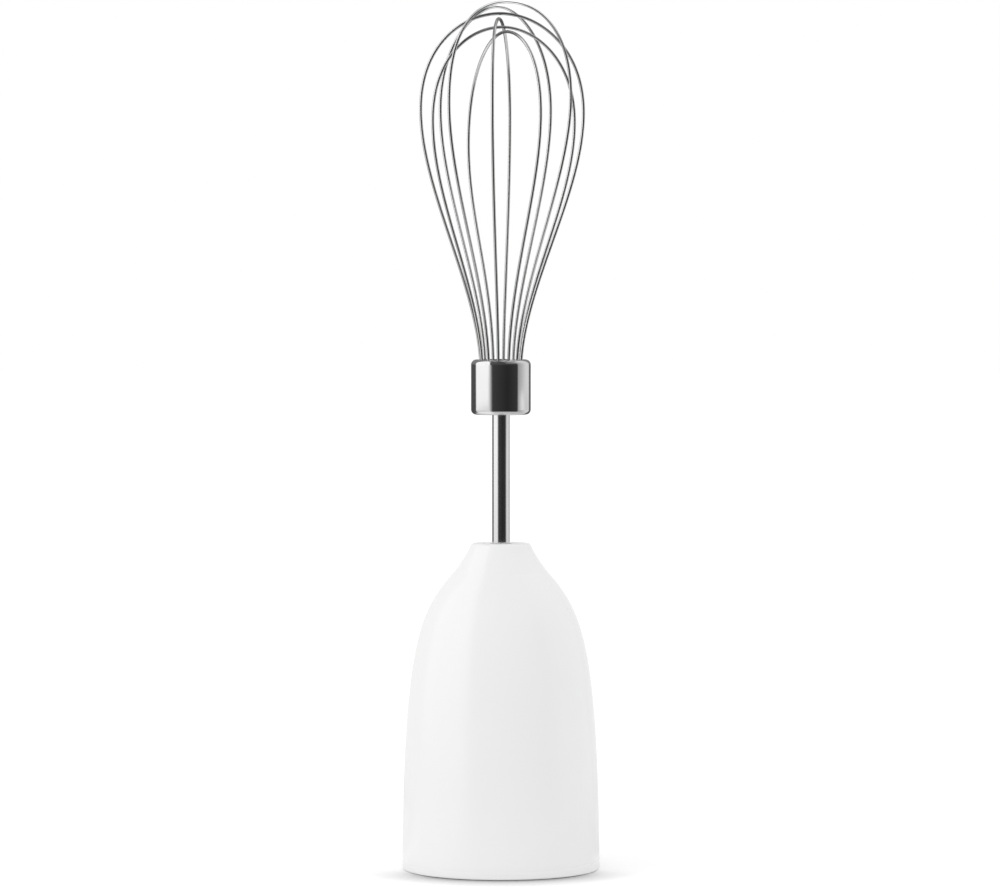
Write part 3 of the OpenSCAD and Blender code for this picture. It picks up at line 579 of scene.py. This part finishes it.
# Loops across the axis, in degrees and millimetres: azimuth of one foot, turn against it, how much
# narrower than the widest, drop of the top below the crown, drop of the widest point below the
# top, how much lower that point is on the foot's side, lean there and at the top, fullness
CROSS_LOOPS = (
    (FIRST_FOOT, 1.0, 0.2, 2.7, 28.0, 0.6, 0.3, -0.3, 0.46),
    (FIRST_FOOT - 90, 1.3, 0.4, 4.2, 25.6, -2.0, 0.1, -0.4, 0.55),
    (FIRST_FOOT + 30, -0.7, 1.8, 6.6, 27.0, 0.1, 0.9, 0.6, 0.45),
    (FIRST_FOOT - 60, 4.1, 0.6, 7.9, 28.0, -4.1, 0.9, 1.3, 0.46),
)
# Loops beside the axis: azimuth of the middle, half width, distance of the widest point and of the
# top from the axis, drop of the widest point below the top, its difference in height, lean
# there and at the top, fullness
SIDE_LOOPS = (
    (FIRST_FOOT - 75, 17.5, 16.0, 13.0, 27.8, -0.9, 0.5, 0.1, 0.58),
    (FIRST_FOOT + 105, 16.2, 16.5, 13.0, 30.0, -0.1, 0.6, 0.7, 0.37),
)


def share(value, low, high):
    """How far a value has come from low to high, from 0 to 1."""
    return max(0.0, min(1.0, (value - low) / (high - low)))


def lean(height, widest, top, at_widest, at_top):
    """Sideways lean of a loop at a height."""
    t = share(height, FERRULE_TOP, widest)
    return at_widest * t * t * (3 - 2 * t) + (at_top - at_widest) * share(height, widest, top) ** 2


def half_loop(start, width, widest, top, fullness, angle, steps=60):
    """Distance from the loop's middle and height, from the foot to the top."""
    spread = FOOT_PULL * Vector((math.sin(math.radians(angle)), math.cos(math.radians(angle))))
    foot, waist = Vector((start, FERRULE_TOP)), Vector((width, widest))
    below, above = Vector((0, WAIST_PULL)), Vector((0, CROWN_PULL * (top - widest)))
    points = [Vector((start, HOLDER_TOP - FOOT_DEPTH)), Vector((start, HOLDER_TOP))]
    points += [bezier(foot, foot + spread, waist - below, waist, i / steps) for i in range(steps)]
    crown = (waist, waist + above, Vector((fullness * width, top)), Vector((0, top)))
    return points + [bezier(*crown, i / steps) for i in range(steps + 1)]


def cross_half(spec, side):
    """One half of a loop across the axis, from its foot to its top."""
    azimuth, turn, narrower, drop, below, skew, leaning, top_lean, fullness = spec
    top = CROWN - drop * MM
    widest = top - (below + side * skew) * MM
    made = []
    for p in half_loop(FOOT_CIRCLE, WIDEST - narrower * MM, widest, top, fullness, FOOT_ANGLE):
        a = math.radians(azimuth + lean(p.y, widest, top, turn, turn))
        aside = lean(p.y, widest, top, leaning, top_lean) * MM
        made.append(Vector((side * p.x * math.cos(a) + aside, side * p.x * math.sin(a), p.y)))
    return made


def side_half(spec, side):
    """One half of a loop beside the axis, from its foot to its top."""
    azimuth, width, away, away_top, below, skew, leaning, top_lean, fullness = spec
    widest = CROWN - (below + side * skew) * MM
    start, a = FOOT_CIRCLE * math.sqrt(0.5), math.radians(azimuth)
    out = Vector((math.cos(a), math.sin(a), 0))
    across = Vector((-math.sin(a), math.cos(a), 0))
    rows = zip(
        half_loop(start, width * MM, widest, CROWN, fullness, SIDE_FOOT_ANGLE),
        half_loop(start, away * MM, widest, CROWN, fullness, SIDE_FOOT_ANGLE),
    )
    made = []
    for p, q in rows:
        up = share(p.y, widest, CROWN)
        far = (away + (away_top - away) * up * up) * MM if up > 0 else q.x
        point = far * out + side * p.x * across
        made.append(point + Vector((lean(p.y, widest, CROWN, leaning, top_lean) * MM, 0, p.y)))
    return made


def loop_path(half, spec):
    """Both halves of a loop as one path."""
    return half(spec, -1) + half(spec, 1)[-2::-1]


def node_group(name, *inputs):
    """Starts a geometry node group whose inputs are given as name, kind and default."""
    tree = bpy.data.node_groups.new(name, "GeometryNodeTree")
    tree.interface.new_socket(name="Geometry", in_out="OUTPUT", socket_type="NodeSocketGeometry")
    for label, kind, default in inputs:
        socket = "NodeSocket" + kind
        made = tree.interface.new_socket(name=label, in_out="INPUT", socket_type=socket)
        if default is not None:
            made.default_value = default
    return Recipe(tree)


def swept(recipe, curve, section):
    """A solid with closed ends, swept along a curve."""
    return recipe.node(
        "GeometryNodeCurveToMesh", None,
        {"Curve": curve, "Profile Curve": section, "Fill Caps": True},
    )


def close_group(recipe, geometry, finish):
    """Ends a group with real geometry of one material."""
    plain = recipe.node("GeometryNodeRealizeInstances", None, {"Geometry": geometry})
    plain = recipe.node("GeometryNodeSetMaterial", None, {"Geometry": plain, "Material": finish})
    recipe.node("NodeGroupOutput", None, {"Geometry": plain})
    return recipe.tree


def wire_tree():
    """Geometry nodes that draw round wire along a path."""
    recipe = node_group(
        "Drawn wire", ("Path", "Geometry", None), ("Wire radius", "Float", WIRE_RADIUS),
        ("Sides", "Int", WIRE_SIDES), ("Spacing", "Float", WIRE_SPACING),
        ("Finish", "Material", None),
    )
    given = recipe.node("NodeGroupInput", output="Path")
    path = recipe.node("GeometryNodeMeshToCurve", None, {"Mesh": given})
    path = recipe.node(
        "GeometryNodeResampleCurve", {"mode": "LENGTH"},
        {"Curve": path, "Length": given.out("Spacing")},
    )
    section = recipe.node(
        "GeometryNodeCurvePrimitiveCircle", None,
        {"Radius": given.out("Wire radius"), "Resolution": given.out("Sides")},
    )
    wire = swept(recipe, path, section)
    wire = recipe.node("GeometryNodeSetShadeSmooth", None, {"Geometry": wire})
    return close_group(recipe, wire, given.out("Finish"))


def screw_tree():
    """Geometry nodes that stand a threaded pan head screw on every point, head down."""
    recipe = node_group(
        "Pan head screws", ("Places", "Geometry", None), ("Head radius", "Float", HEAD_RADIUS),
        ("Head height", "Float", HEAD_HEIGHT), ("Thread radius", "Float", THREAD_RADIUS),
        ("Thread length", "Float", THREAD_LENGTH), ("Pitch", "Float", PITCH),
        ("Slot width", "Float", SLOT_WIDTH), ("Finish", "Material", None),
    )
    given = recipe.node("NodeGroupInput", output="Places")
    radius, height, width = (
        given.out(name) for name in ("Head radius", "Head height", "Slot width")
    )
    thread, length, pitch = (
        given.out(name) for name in ("Thread radius", "Thread length", "Pitch")
    )

    def vector(x, y, z):
        return recipe.node("ShaderNodeCombineXYZ", None, {0: x, 1: y, 2: z})

    def raised(mesh, lift):
        move = {"Geometry": mesh, "Translation": vector(0.0, 0.0, lift)}
        return recipe.node("GeometryNodeTransform", None, move)

    def drum(drum_radius, depth, sides, rows):
        sizes = {"Vertices": sides, "Side Segments": rows, "Radius": drum_radius, "Depth": depth}
        return raised(recipe.node("GeometryNodeMeshCylinder", None, sizes), depth * 0.5)

    # Head: a drum that narrows towards its face, with two slots cut across
    place = recipe.node("GeometryNodeInputPosition")
    below = 1 - recipe.node("ShaderNodeSeparateXYZ", None, {0: place}, "Z") / height
    narrowed = 1 - HEAD_NARROWING * below * below * below
    rounded = recipe.node(
        "ShaderNodeVectorMath", {"operation": "MULTIPLY"},
        {0: place, 1: vector(narrowed, narrowed, 1.0)},
    )
    head = recipe.node(
        "GeometryNodeSetPosition", None,
        {"Geometry": drum(radius, height, HEAD_SIDES, HEAD_ROWS), "Position": rounded},
    )
    reach = radius * SLOT_LENGTH
    for size in (vector(reach, width, height), vector(width, reach, height)):
        slot = recipe.node("GeometryNodeMeshCube", None, {"Size": size})
        head = recipe.node(
            "GeometryNodeMeshBoolean", {"operation": "DIFFERENCE"},
            {"Mesh 1": head, "Mesh 2": slot}, "Mesh",
        )

    # Thread: a core, and a ridge swept along a helix round it
    core_radius = thread * CORE_SHARE
    core = raised(drum(core_radius, length, CORE_SIDES, 1), height * CORE_START)
    helix = recipe.node(
        "GeometryNodeCurveSpiral", None,
        {
            "Resolution": TURN_STEPS, "Rotations": length / pitch - 1, "Height": length - pitch,
            "Start Radius": core_radius, "End Radius": core_radius,
        },
    )
    ridge = recipe.node(
        "GeometryNodeCurvePrimitiveCircle", None,
        {"Radius": thread * RIDGE_SHARE, "Resolution": RIDGE_SIDES},
    )
    ridge = raised(swept(recipe, helix, ridge), height * CORE_START + pitch * 0.5)
    whole = recipe.node("GeometryNodeJoinGeometry")
    for part in (head, core, ridge):
        recipe.tree.links.new(part.socket, whole.socket.node.inputs[0])
    points = recipe.node("GeometryNodeMeshToPoints", None, {"Mesh": given})
    screws = recipe.node(
        "GeometryNodeInstanceOnPoints", None, {"Points": points, "Instance": whole}
    )
    return close_group(recipe, screws, given.out("Finish"))


def set_inputs(modifier, values):
    """Sets a Geometry Nodes modifier's inputs by their names."""
    for item in modifier.node_group.interface.items_tree:
        if item.item_type == "SOCKET" and item.in_out == "INPUT" and item.name in values:
            modifier[item.identifier] = values[item.name]


def grown(name, verts, edges, tree, values):
    """Runs a node tree on a small mesh and returns the result as a plain mesh object."""
    seed = bpy.data.meshes.new(name + "_seed")
    seed.from_pydata(verts, edges, [])
    host = placed(name + "_host", seed)
    modifier = host.modifiers.new("nodes", "NODES")
    modifier.node_group = tree
    set_inputs(modifier, values)
    depsgraph = bpy.context.evaluated_depsgraph_get()
    mesh = bpy.data.meshes.new_from_object(host.evaluated_get(depsgraph), depsgraph=depsgraph)
    mesh.name = name
    bpy.data.objects.remove(host)
    if not mesh.polygons:
        raise RuntimeError(f"{name}: the node tree made no faces")
    return placed(name, mesh)


# ------------------------------------------------------------------ studio

# Azimuths are in degrees from the camera's side, towards its right, and elevations from the table.
# Sides and top of the left card and of the right card, and side and foot of the card above
LEFT_BACK, LEFT_FRONT, LEFT_TOP = -112, -42, 67
RIGHT_FRONT, RIGHT_BACK, RIGHT_TOP = 69, 140, 60
OVER_SIDE, OVER_FOOT = 22, 35
# The back wall starts beyond these azimuths
WALL_LEFT, WALL_RIGHT = -111, 138
# Sectors of the light on the crowns: ahead from one azimuth to another, and how high it starts
CROWN_LEFT, CROWN_RIGHT, CROWN_BACK = -12, 64, 130
CROWN_FOOT, CROWN_OVER = 34, 70
# Where on the table the surroundings take over from the light near the object
TABLE_EDGE, CROWN_EDGE, TABLE_BLEND = 0.22, 0.32, 0.08
# Rings of the domes: distances on the table, elevations above it, and points in each
DOME_DISTANCES = (0.05, 0.16, 0.2, 0.24, 0.3, 0.5, 1.0, 1.4, 1.8)
DOME_ELEVATIONS = (0, 0.4, 0.8, 1.2, 1.6, 2, 2.4, 2.8, *range(3, 91, 3))
DOME_POINTS = 180

# Painted contact shadow on the floor: samples, reach and weight of its wide and its narrow part,
# where it sets in before the axis, and the light that the floor adds so that it reads as white
SHADOW_SAMPLES = 8
WIDE_REACH, WIDE_WEIGHT = 16 * MM, 1.15
NARROW_REACH, NARROW_WEIGHT = 5 * MM, 0.45
SHADOW_START, SHADOW_BLEND = 14 * MM, 28 * MM
FLOOR_GLOW = 0.16
FLOOR_REACH, FLOOR_LEVEL = 6.0, -0.05 * MM

# Lamp on the left, and the camera, whose tilt in degrees is from straight down
LAMP_PLACE, LAMP_TARGET, LAMP_SIZE = (-1.1, -0.7, 0.8), (0, 0, 0.1), (1.0, 1.2)
CAMERA_PLACE, CAMERA_TILT, CAMERA_LENS = (-0.00026, -1.4074, 0.17723), 90 - 2.205, 175.6
CLIP_NEAR, CLIP_FAR = 0.05, 30


def step(value, edge, width):
    """0 below the edge and 1 above it, with a soft step of the given width."""
    t = share(value, edge - width / 2, edge + width / 2)
    return t * t * (3 - 2 * t)


def behind(azimuth):
    """1 towards the back wall and 0 towards the cards and the camera."""
    return step(azimuth, WALL_RIGHT, 14) + 1 - step(azimuth, WALL_LEFT, 6)


def surround(azimuth, elevation, distance=None):
    """Brightness of the studio by direction, or on the table at a distance."""
    # Left card: its front side is soft near the table and leans to the left higher up
    soft = 26 - 23 * share(elevation, 4, 12)
    edge = LEFT_FRONT - 0.25 * max(0, min(elevation, 45) - 12) - 1.2 * max(0, elevation - 45)
    left = step(azimuth, LEFT_BACK - 12 * share(elevation, 0, 40), 7) - step(azimuth, edge, soft)
    lit = left * (1.42 + 0.08 * step(elevation, 4.5, 2)) * (1 - step(elevation, LEFT_TOP, 5))

    # Right card: it brightens to the back, and reaches further back higher up
    low = 1 - step(elevation, 1.4, 0.5)
    level = 0.5 + 0.48 * share(azimuth, 72, 112)
    level += low * (0.1 + 0.35 * share(azimuth, 72, 88) - 0.55 * share(azimuth, 92, 112))
    back = RIGHT_BACK + 18 * min(1.0, elevation / 55) ** 2
    right = step(azimuth, RIGHT_FRONT, 5) - step(azimuth, back, 16)
    right *= level * (1 - step(elevation, RIGHT_TOP, 6))

    # Dim card above, and the unlit room
    over = step(azimuth, OVER_SIDE, 14) * step(elevation, OVER_FOOT, 8)
    over *= 0.25 + 0.35 * share(azimuth, 40, 110)
    unlit = 0.03 + 0.07 * share(abs(azimuth - 25), 0, 120) + 0.05 * share(elevation, 4, 30)
    unlit += 0.15 * share(abs(azimuth), 118, 130) * share(elevation, 4, 10)
    far = max(unlit, lit, right, over)
    if distance is None:
        return far
    near = 0.75 + 0.5 * left + 0.2 * behind(azimuth)
    return near + step(distance, TABLE_EDGE, TABLE_BLEND) * (min(1.0, far) - near)


def housing_wash(azimuth, elevation, distance=None):
    """Light that fills the dark back of the studio, for the housing alone."""
    wash = max(0.0, 0.93 - surround(azimuth, elevation)) * behind(azimuth)
    wash *= 1 - step(elevation, 70, 20)
    return wash if distance is None else wash * step(distance, TABLE_EDGE, TABLE_BLEND)


def crown_wash(azimuth, elevation, distance=None):
    """Light over, behind and under the crowns of the two side loops, for those loops alone."""
    ahead = step(azimuth, CROWN_LEFT, 10) - step(azimuth, CROWN_RIGHT, 16)
    if distance is not None:
        return 1.5 * ahead * (1 - step(distance, CROWN_EDGE, TABLE_BLEND))
    sectors = max(ahead, step(azimuth, CROWN_BACK, 14), step(elevation, CROWN_OVER, 8))
    return 1.45 * step(elevation, CROWN_FOOT, 12) * sectors


# Name, level, reach and height of each dome above the table, and the pieces it is kept to
DOMES = (
    ("studio_dome", surround, 2.2, 1 * MM, ()),
    ("housing_wash", housing_wash, 2.1, 2 * MM, ("housing_shell_gloss",)),
    ("crown_wash", crown_wash, 2.0, 3 * MM, ("whisk_wire_5", "whisk_wire_6")),
)


def light_dome(name, level, reach, table, pieces):
    """A dome and a table top that only reflections see, and that are clear if for some pieces."""
    verts, faces, glow = [], [], []
    rings = [(distance, table, None) for distance in DOME_DISTANCES]
    for elevation in DOME_ELEVATIONS:
        e = math.radians(elevation)
        rings.append((reach * math.cos(e), table + reach * math.sin(e), elevation))
    for j, (distance, height, elevation) in enumerate(rings):
        for i in range(DOME_POINTS):
            azimuth = -180 + 360 * i / DOME_POINTS
            a = math.radians(azimuth)
            verts.append((distance * math.sin(a), -distance * math.cos(a), height))
            if elevation is None:
                glow.append(level(azimuth, 4 * (1 - step(distance, 1.6, 0.5)), distance))
            else:
                glow.append(level(azimuth, elevation))
            if j:
                k, n = j * DOME_POINTS + i, j * DOME_POINTS + (i + 1) % DOME_POINTS
                faces.append((k - DOME_POINTS, n - DOME_POINTS, n, k))
    mesh = bpy.data.meshes.new(name)
    mesh.from_pydata(verts, [], faces)
    mesh.attributes.new("glow", "FLOAT", "POINT").data.foreach_set("value", glow)
    material, recipe = empty_material(name)
    strength = recipe.node("ShaderNodeAttribute", {"attribute_name": "glow"}, None, "Fac")
    light = recipe.node("ShaderNodeEmission", None, {"Strength": strength})
    if pieces:
        through = recipe.node("ShaderNodeBsdfTransparent")
        light = recipe.node("ShaderNodeAddShader", None, {0: light, 1: through})
    recipe.node("ShaderNodeOutputMaterial", None, {"Surface": light})
    mesh.materials.append(material)
    dome = placed(name, mesh)
    for ray in ("camera", "diffuse", "shadow", "transmission"):
        setattr(dome, "visible_" + ray, False)
    if pieces:
        kept_to = bpy.data.collections.new("lit_by_" + name)
        for piece in pieces:
            kept_to.objects.link(bpy.data.objects[piece])
        dome.light_linking.receiver_collection = kept_to


def floor_finish(settings):
    """Plain pale floor that reads as white, with painted shadow in the crevice before the object.
    """
    material, recipe = empty_material("floor_pale")

    def glow(strength):
        return recipe.node("ShaderNodeEmission", None, {"Strength": strength})

    def hidden(reach):
        sockets = {"Distance": reach}
        return 1 - recipe.node(
            "ShaderNodeAmbientOcclusion", {"samples": SHADOW_SAMPLES}, sockets, "AO"
        )

    colour = settings.floor_colour
    path = recipe.node("ShaderNodeLightPath", output="Is Camera Ray")
    place = recipe.node("ShaderNodeTexCoord", output="Object")
    forward = 0 - recipe.node("ShaderNodeSeparateXYZ", None, {0: place}, "Y")
    shade = hidden(WIDE_REACH) * WIDE_WEIGHT + hidden(NARROW_REACH) * NARROW_WEIGHT
    lit = (1 - forward.above(SHADOW_START, SHADOW_BLEND) * shade).either(0.0)
    tint = recipe.node(
        "ShaderNodeMix", {"data_type": "RGBA"}, {0: lit, 6: (0, 0, 0), 7: colour}, 2
    )
    matte = recipe.node("ShaderNodeBsdfDiffuse", None, {"Color": tint})
    plain = recipe.node("ShaderNodeBsdfDiffuse", None, {"Color": colour})
    seen = recipe.node("ShaderNodeAddShader", None, {0: matte, 1: glow(lit * FLOOR_GLOW)})
    mirrored = recipe.node("ShaderNodeAddShader", None, {0: plain, 1: glow(FLOOR_GLOW)})
    surface = recipe.node(
        "ShaderNodeMixShader", None, {0: path.out("Is Glossy Ray"), 1: plain, 2: mirrored}
    )
    surface = recipe.node("ShaderNodeMixShader", None, {0: path, 1: surface, 2: seen})
    recipe.node("ShaderNodeOutputMaterial", None, {"Surface": surface})
    return material


def area_lamp(name, position, target, size, power):
    """A rectangular lamp aimed at a point, and seen by no camera and in no reflection."""
    data = bpy.data.lights.new(name, "AREA")
    data.shape = "RECTANGLE"
    data.size, data.size_y = size
    data.energy = power
    lamp = placed(name, data)
    lamp.location = position
    aim = Vector(target) - Vector(position)
    lamp.rotation_euler = aim.to_track_quat("-Z", "Y").to_euler()
    lamp.visible_camera = False
    lamp.visible_glossy = False


def white_room(level):
    """World: soft light of one level, and plain white for camera, glossy and transmission rays."""
    world = bpy.data.worlds.new("white_room")
    bpy.context.scene.world = world
    world.use_nodes = True
    recipe = Recipe(world.node_tree)
    white = (1, 1, 1)
    path = recipe.node("ShaderNodeLightPath", output="Is Camera Ray")
    seen = path.either(path.out("Is Glossy Ray")).either(path.out("Is Transmission Ray"))
    soft = recipe.node("ShaderNodeBackground", None, {"Color": white, "Strength": level})
    plain = recipe.node("ShaderNodeBackground", None, {"Color": white, "Strength": 1.0})
    room = recipe.node("ShaderNodeMixShader", None, {0: seen, 1: soft, 2: plain})
    recipe.node("ShaderNodeOutputWorld", None, {"Surface": room})


# ------------------------------------------------------------------ operators


class WHISK_OT_housing(Operator):
    """Turn the gloss white housing shell"""

    bl_idname = "whisk.housing"
    bl_label = "Housing Shell"

    def execute(self, context):
        settings = context.scene.whisk_housing
        outline, finish = housing_outline(settings), gloss_housing(settings)
        shell = turned("housing_shell_gloss", outline, finish, HOUSING_SEGMENTS)
        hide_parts("housing_shell")
        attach(shell, "housing")
        return {"FINISHED"}


class WHISK_OT_ferrule(Operator):
    """Turn the polished ferrule"""

    bl_idname = "whisk.ferrule"
    bl_label = "Ferrule"

    def execute(self, context):
        settings = context.scene.whisk_whisk
        steel = polished_steel("ferrule_polished_steel", settings, AROUND, 0.04)
        piece = turned("ferrule_polished", ferrule_outline(settings), steel, FERRULE_SEGMENTS)
        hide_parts("ferrule")
        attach(piece, "whisk")
        return {"FINISHED"}


class WHISK_OT_wires(Operator):
    """Draw the six wire loops of the balloon"""

    bl_idname = "whisk.wires"
    bl_label = "Wire Loops"

    def execute(self, context):
        settings = context.scene.whisk_whisk
        steel = polished_steel("wire_drawn_steel", settings, DRAWN, 0.06)
        tree = wire_tree()
        paths = [loop_path(cross_half, spec) for spec in CROSS_LOOPS]
        paths += [loop_path(side_half, spec) for spec in SIDE_LOOPS]
        values = {
            "Wire radius": settings.wire_radius, "Sides": settings.wire_sides,
            "Spacing": settings.wire_spacing, "Finish": steel,
        }
        for number, path in enumerate(paths, 1):
            links = [(i, i + 1) for i in range(len(path) - 1)]
            loop = grown(f"whisk_wire_{number}", path, links, tree, values)
            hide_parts(f"wire_loop_{number}")
            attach(loop, "whisk")
        return {"FINISHED"}


class WHISK_OT_screws(Operator):
    """Set the pan head screws that hold the coupling ring"""

    bl_idname = "whisk.screws"
    bl_label = "Ring Screws"

    def execute(self, context):
        low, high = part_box("ring_screws")
        circle = -low.x - HEAD_RADIUS
        turns = [math.radians(FIRST_SCREW + 360 / SCREW_COUNT * k) for k in range(SCREW_COUNT)]
        places = [(circle * math.cos(a), circle * math.sin(a), low.z) for a in turns]
        values = {
            "Head radius": HEAD_RADIUS, "Head height": HEAD_HEIGHT,
            "Thread radius": THREAD_RADIUS,
            "Thread length": high.z - low.z - CORE_START * HEAD_HEIGHT,
            "Finish": zinc_plate("screw_zinc_plate"),
        }
        screws = grown("ring_pan_screws", places, [], screw_tree(), values)
        screws.data.set_sharp_from_angle(angle=math.radians(SCREW_SHARP))
        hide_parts("ring_screws")
        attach(screws, "housing")
        return {"FINISHED"}


class WHISK_OT_finishes(Operator):
    """Give every carried-over piece its own finish"""

    bl_idname = "whisk.finishes"
    bl_label = "Inner Finishes"

    def execute(self, context):
        finishes = slot_finishes(context.scene.whisk_whisk)
        slots = {row["node"]: row["material_slot"] for row in frame["record"]["subparts"]}
        for node, piece in frame["nodes"].items():
            if piece.hide_render:
                continue
            if slots[node] not in finishes:
                raise RuntimeError(f"{node}: no finish for slot {slots[node]}")
            for material_slot in piece.material_slots:
                material_slot.material = finishes[slots[node]]
        return {"FINISHED"}


class WHISK_OT_studio(Operator):
    """Set up the floor, the lamp, the light domes and the camera"""

    bl_idname = "whisk.studio"
    bl_label = "Studio"

    def execute(self, context):
        settings = context.scene.whisk_studio
        white_room(settings.dome_level)
        mesh = bpy.data.meshes.new("floor")
        corners = [
            (x * FLOOR_REACH, y * FLOOR_REACH, FLOOR_LEVEL)
            for x, y in ((-1, -1), (1, -1), (1, 1), (-1, 1))
        ]
        mesh.from_pydata(corners, [], [(0, 1, 2, 3)])
        mesh.materials.append(floor_finish(settings))
        placed("floor", mesh)
        for dome in DOMES:
            light_dome(*dome)
        area_lamp("key", LAMP_PLACE, LAMP_TARGET, LAMP_SIZE, settings.key_power)
        data = bpy.data.cameras.new("camera")
        data.lens = CAMERA_LENS
        data.clip_start, data.clip_end = CLIP_NEAR, CLIP_FAR
        camera = placed("camera", data)
        camera.location = CAMERA_PLACE
        camera.rotation_euler = (math.radians(CAMERA_TILT), 0, 0)
        context.scene.camera = camera
        context.scene.view_settings.view_transform = "Standard"
        return {"FINISHED"}


class WHISK_PT_sidebar(Panel):
    """Lists the attachment's settings and its operators"""

    bl_idname = "WHISK_PT_sidebar"
    bl_label = "Whisk Attachment"
    bl_space_type = "VIEW_3D"
    bl_region_type = "UI"
    bl_category = "Whisk"

    def draw(self, context):
        scene = context.scene
        for group in (scene.whisk_housing, scene.whisk_whisk, scene.whisk_studio):
            box = self.layout.box()
            for name in group.__annotations__:
                box.prop(group, name)
        for operator in STEPS:
            self.layout.operator(operator.bl_idname)


STEPS = (
    WHISK_OT_housing, WHISK_OT_ferrule, WHISK_OT_wires,
    WHISK_OT_screws, WHISK_OT_finishes, WHISK_OT_studio,
)
CLASSES = (HousingSettings, WhiskSettings, StudioSettings, *STEPS, WHISK_PT_sidebar)


def register():
    for kind in CLASSES:
        bpy.utils.register_class(kind)
    bpy.types.Scene.whisk_housing = PointerProperty(type=HousingSettings)
    bpy.types.Scene.whisk_whisk = PointerProperty(type=WhiskSettings)
    bpy.types.Scene.whisk_studio = PointerProperty(type=StudioSettings)


def unregister():
    del bpy.types.Scene.whisk_housing
    del bpy.types.Scene.whisk_whisk
    del bpy.types.Scene.whisk_studio
    for kind in reversed(CLASSES):
        bpy.utils.unregister_class(kind)


def main():
    register()
    bpy.ops.whisk.housing()
    bpy.ops.whisk.ferrule()
    bpy.ops.whisk.wires()
    bpy.ops.whisk.screws()
    bpy.ops.whisk.finishes()
    bpy.ops.whisk.studio()


if __name__ == "__main__":
    main()
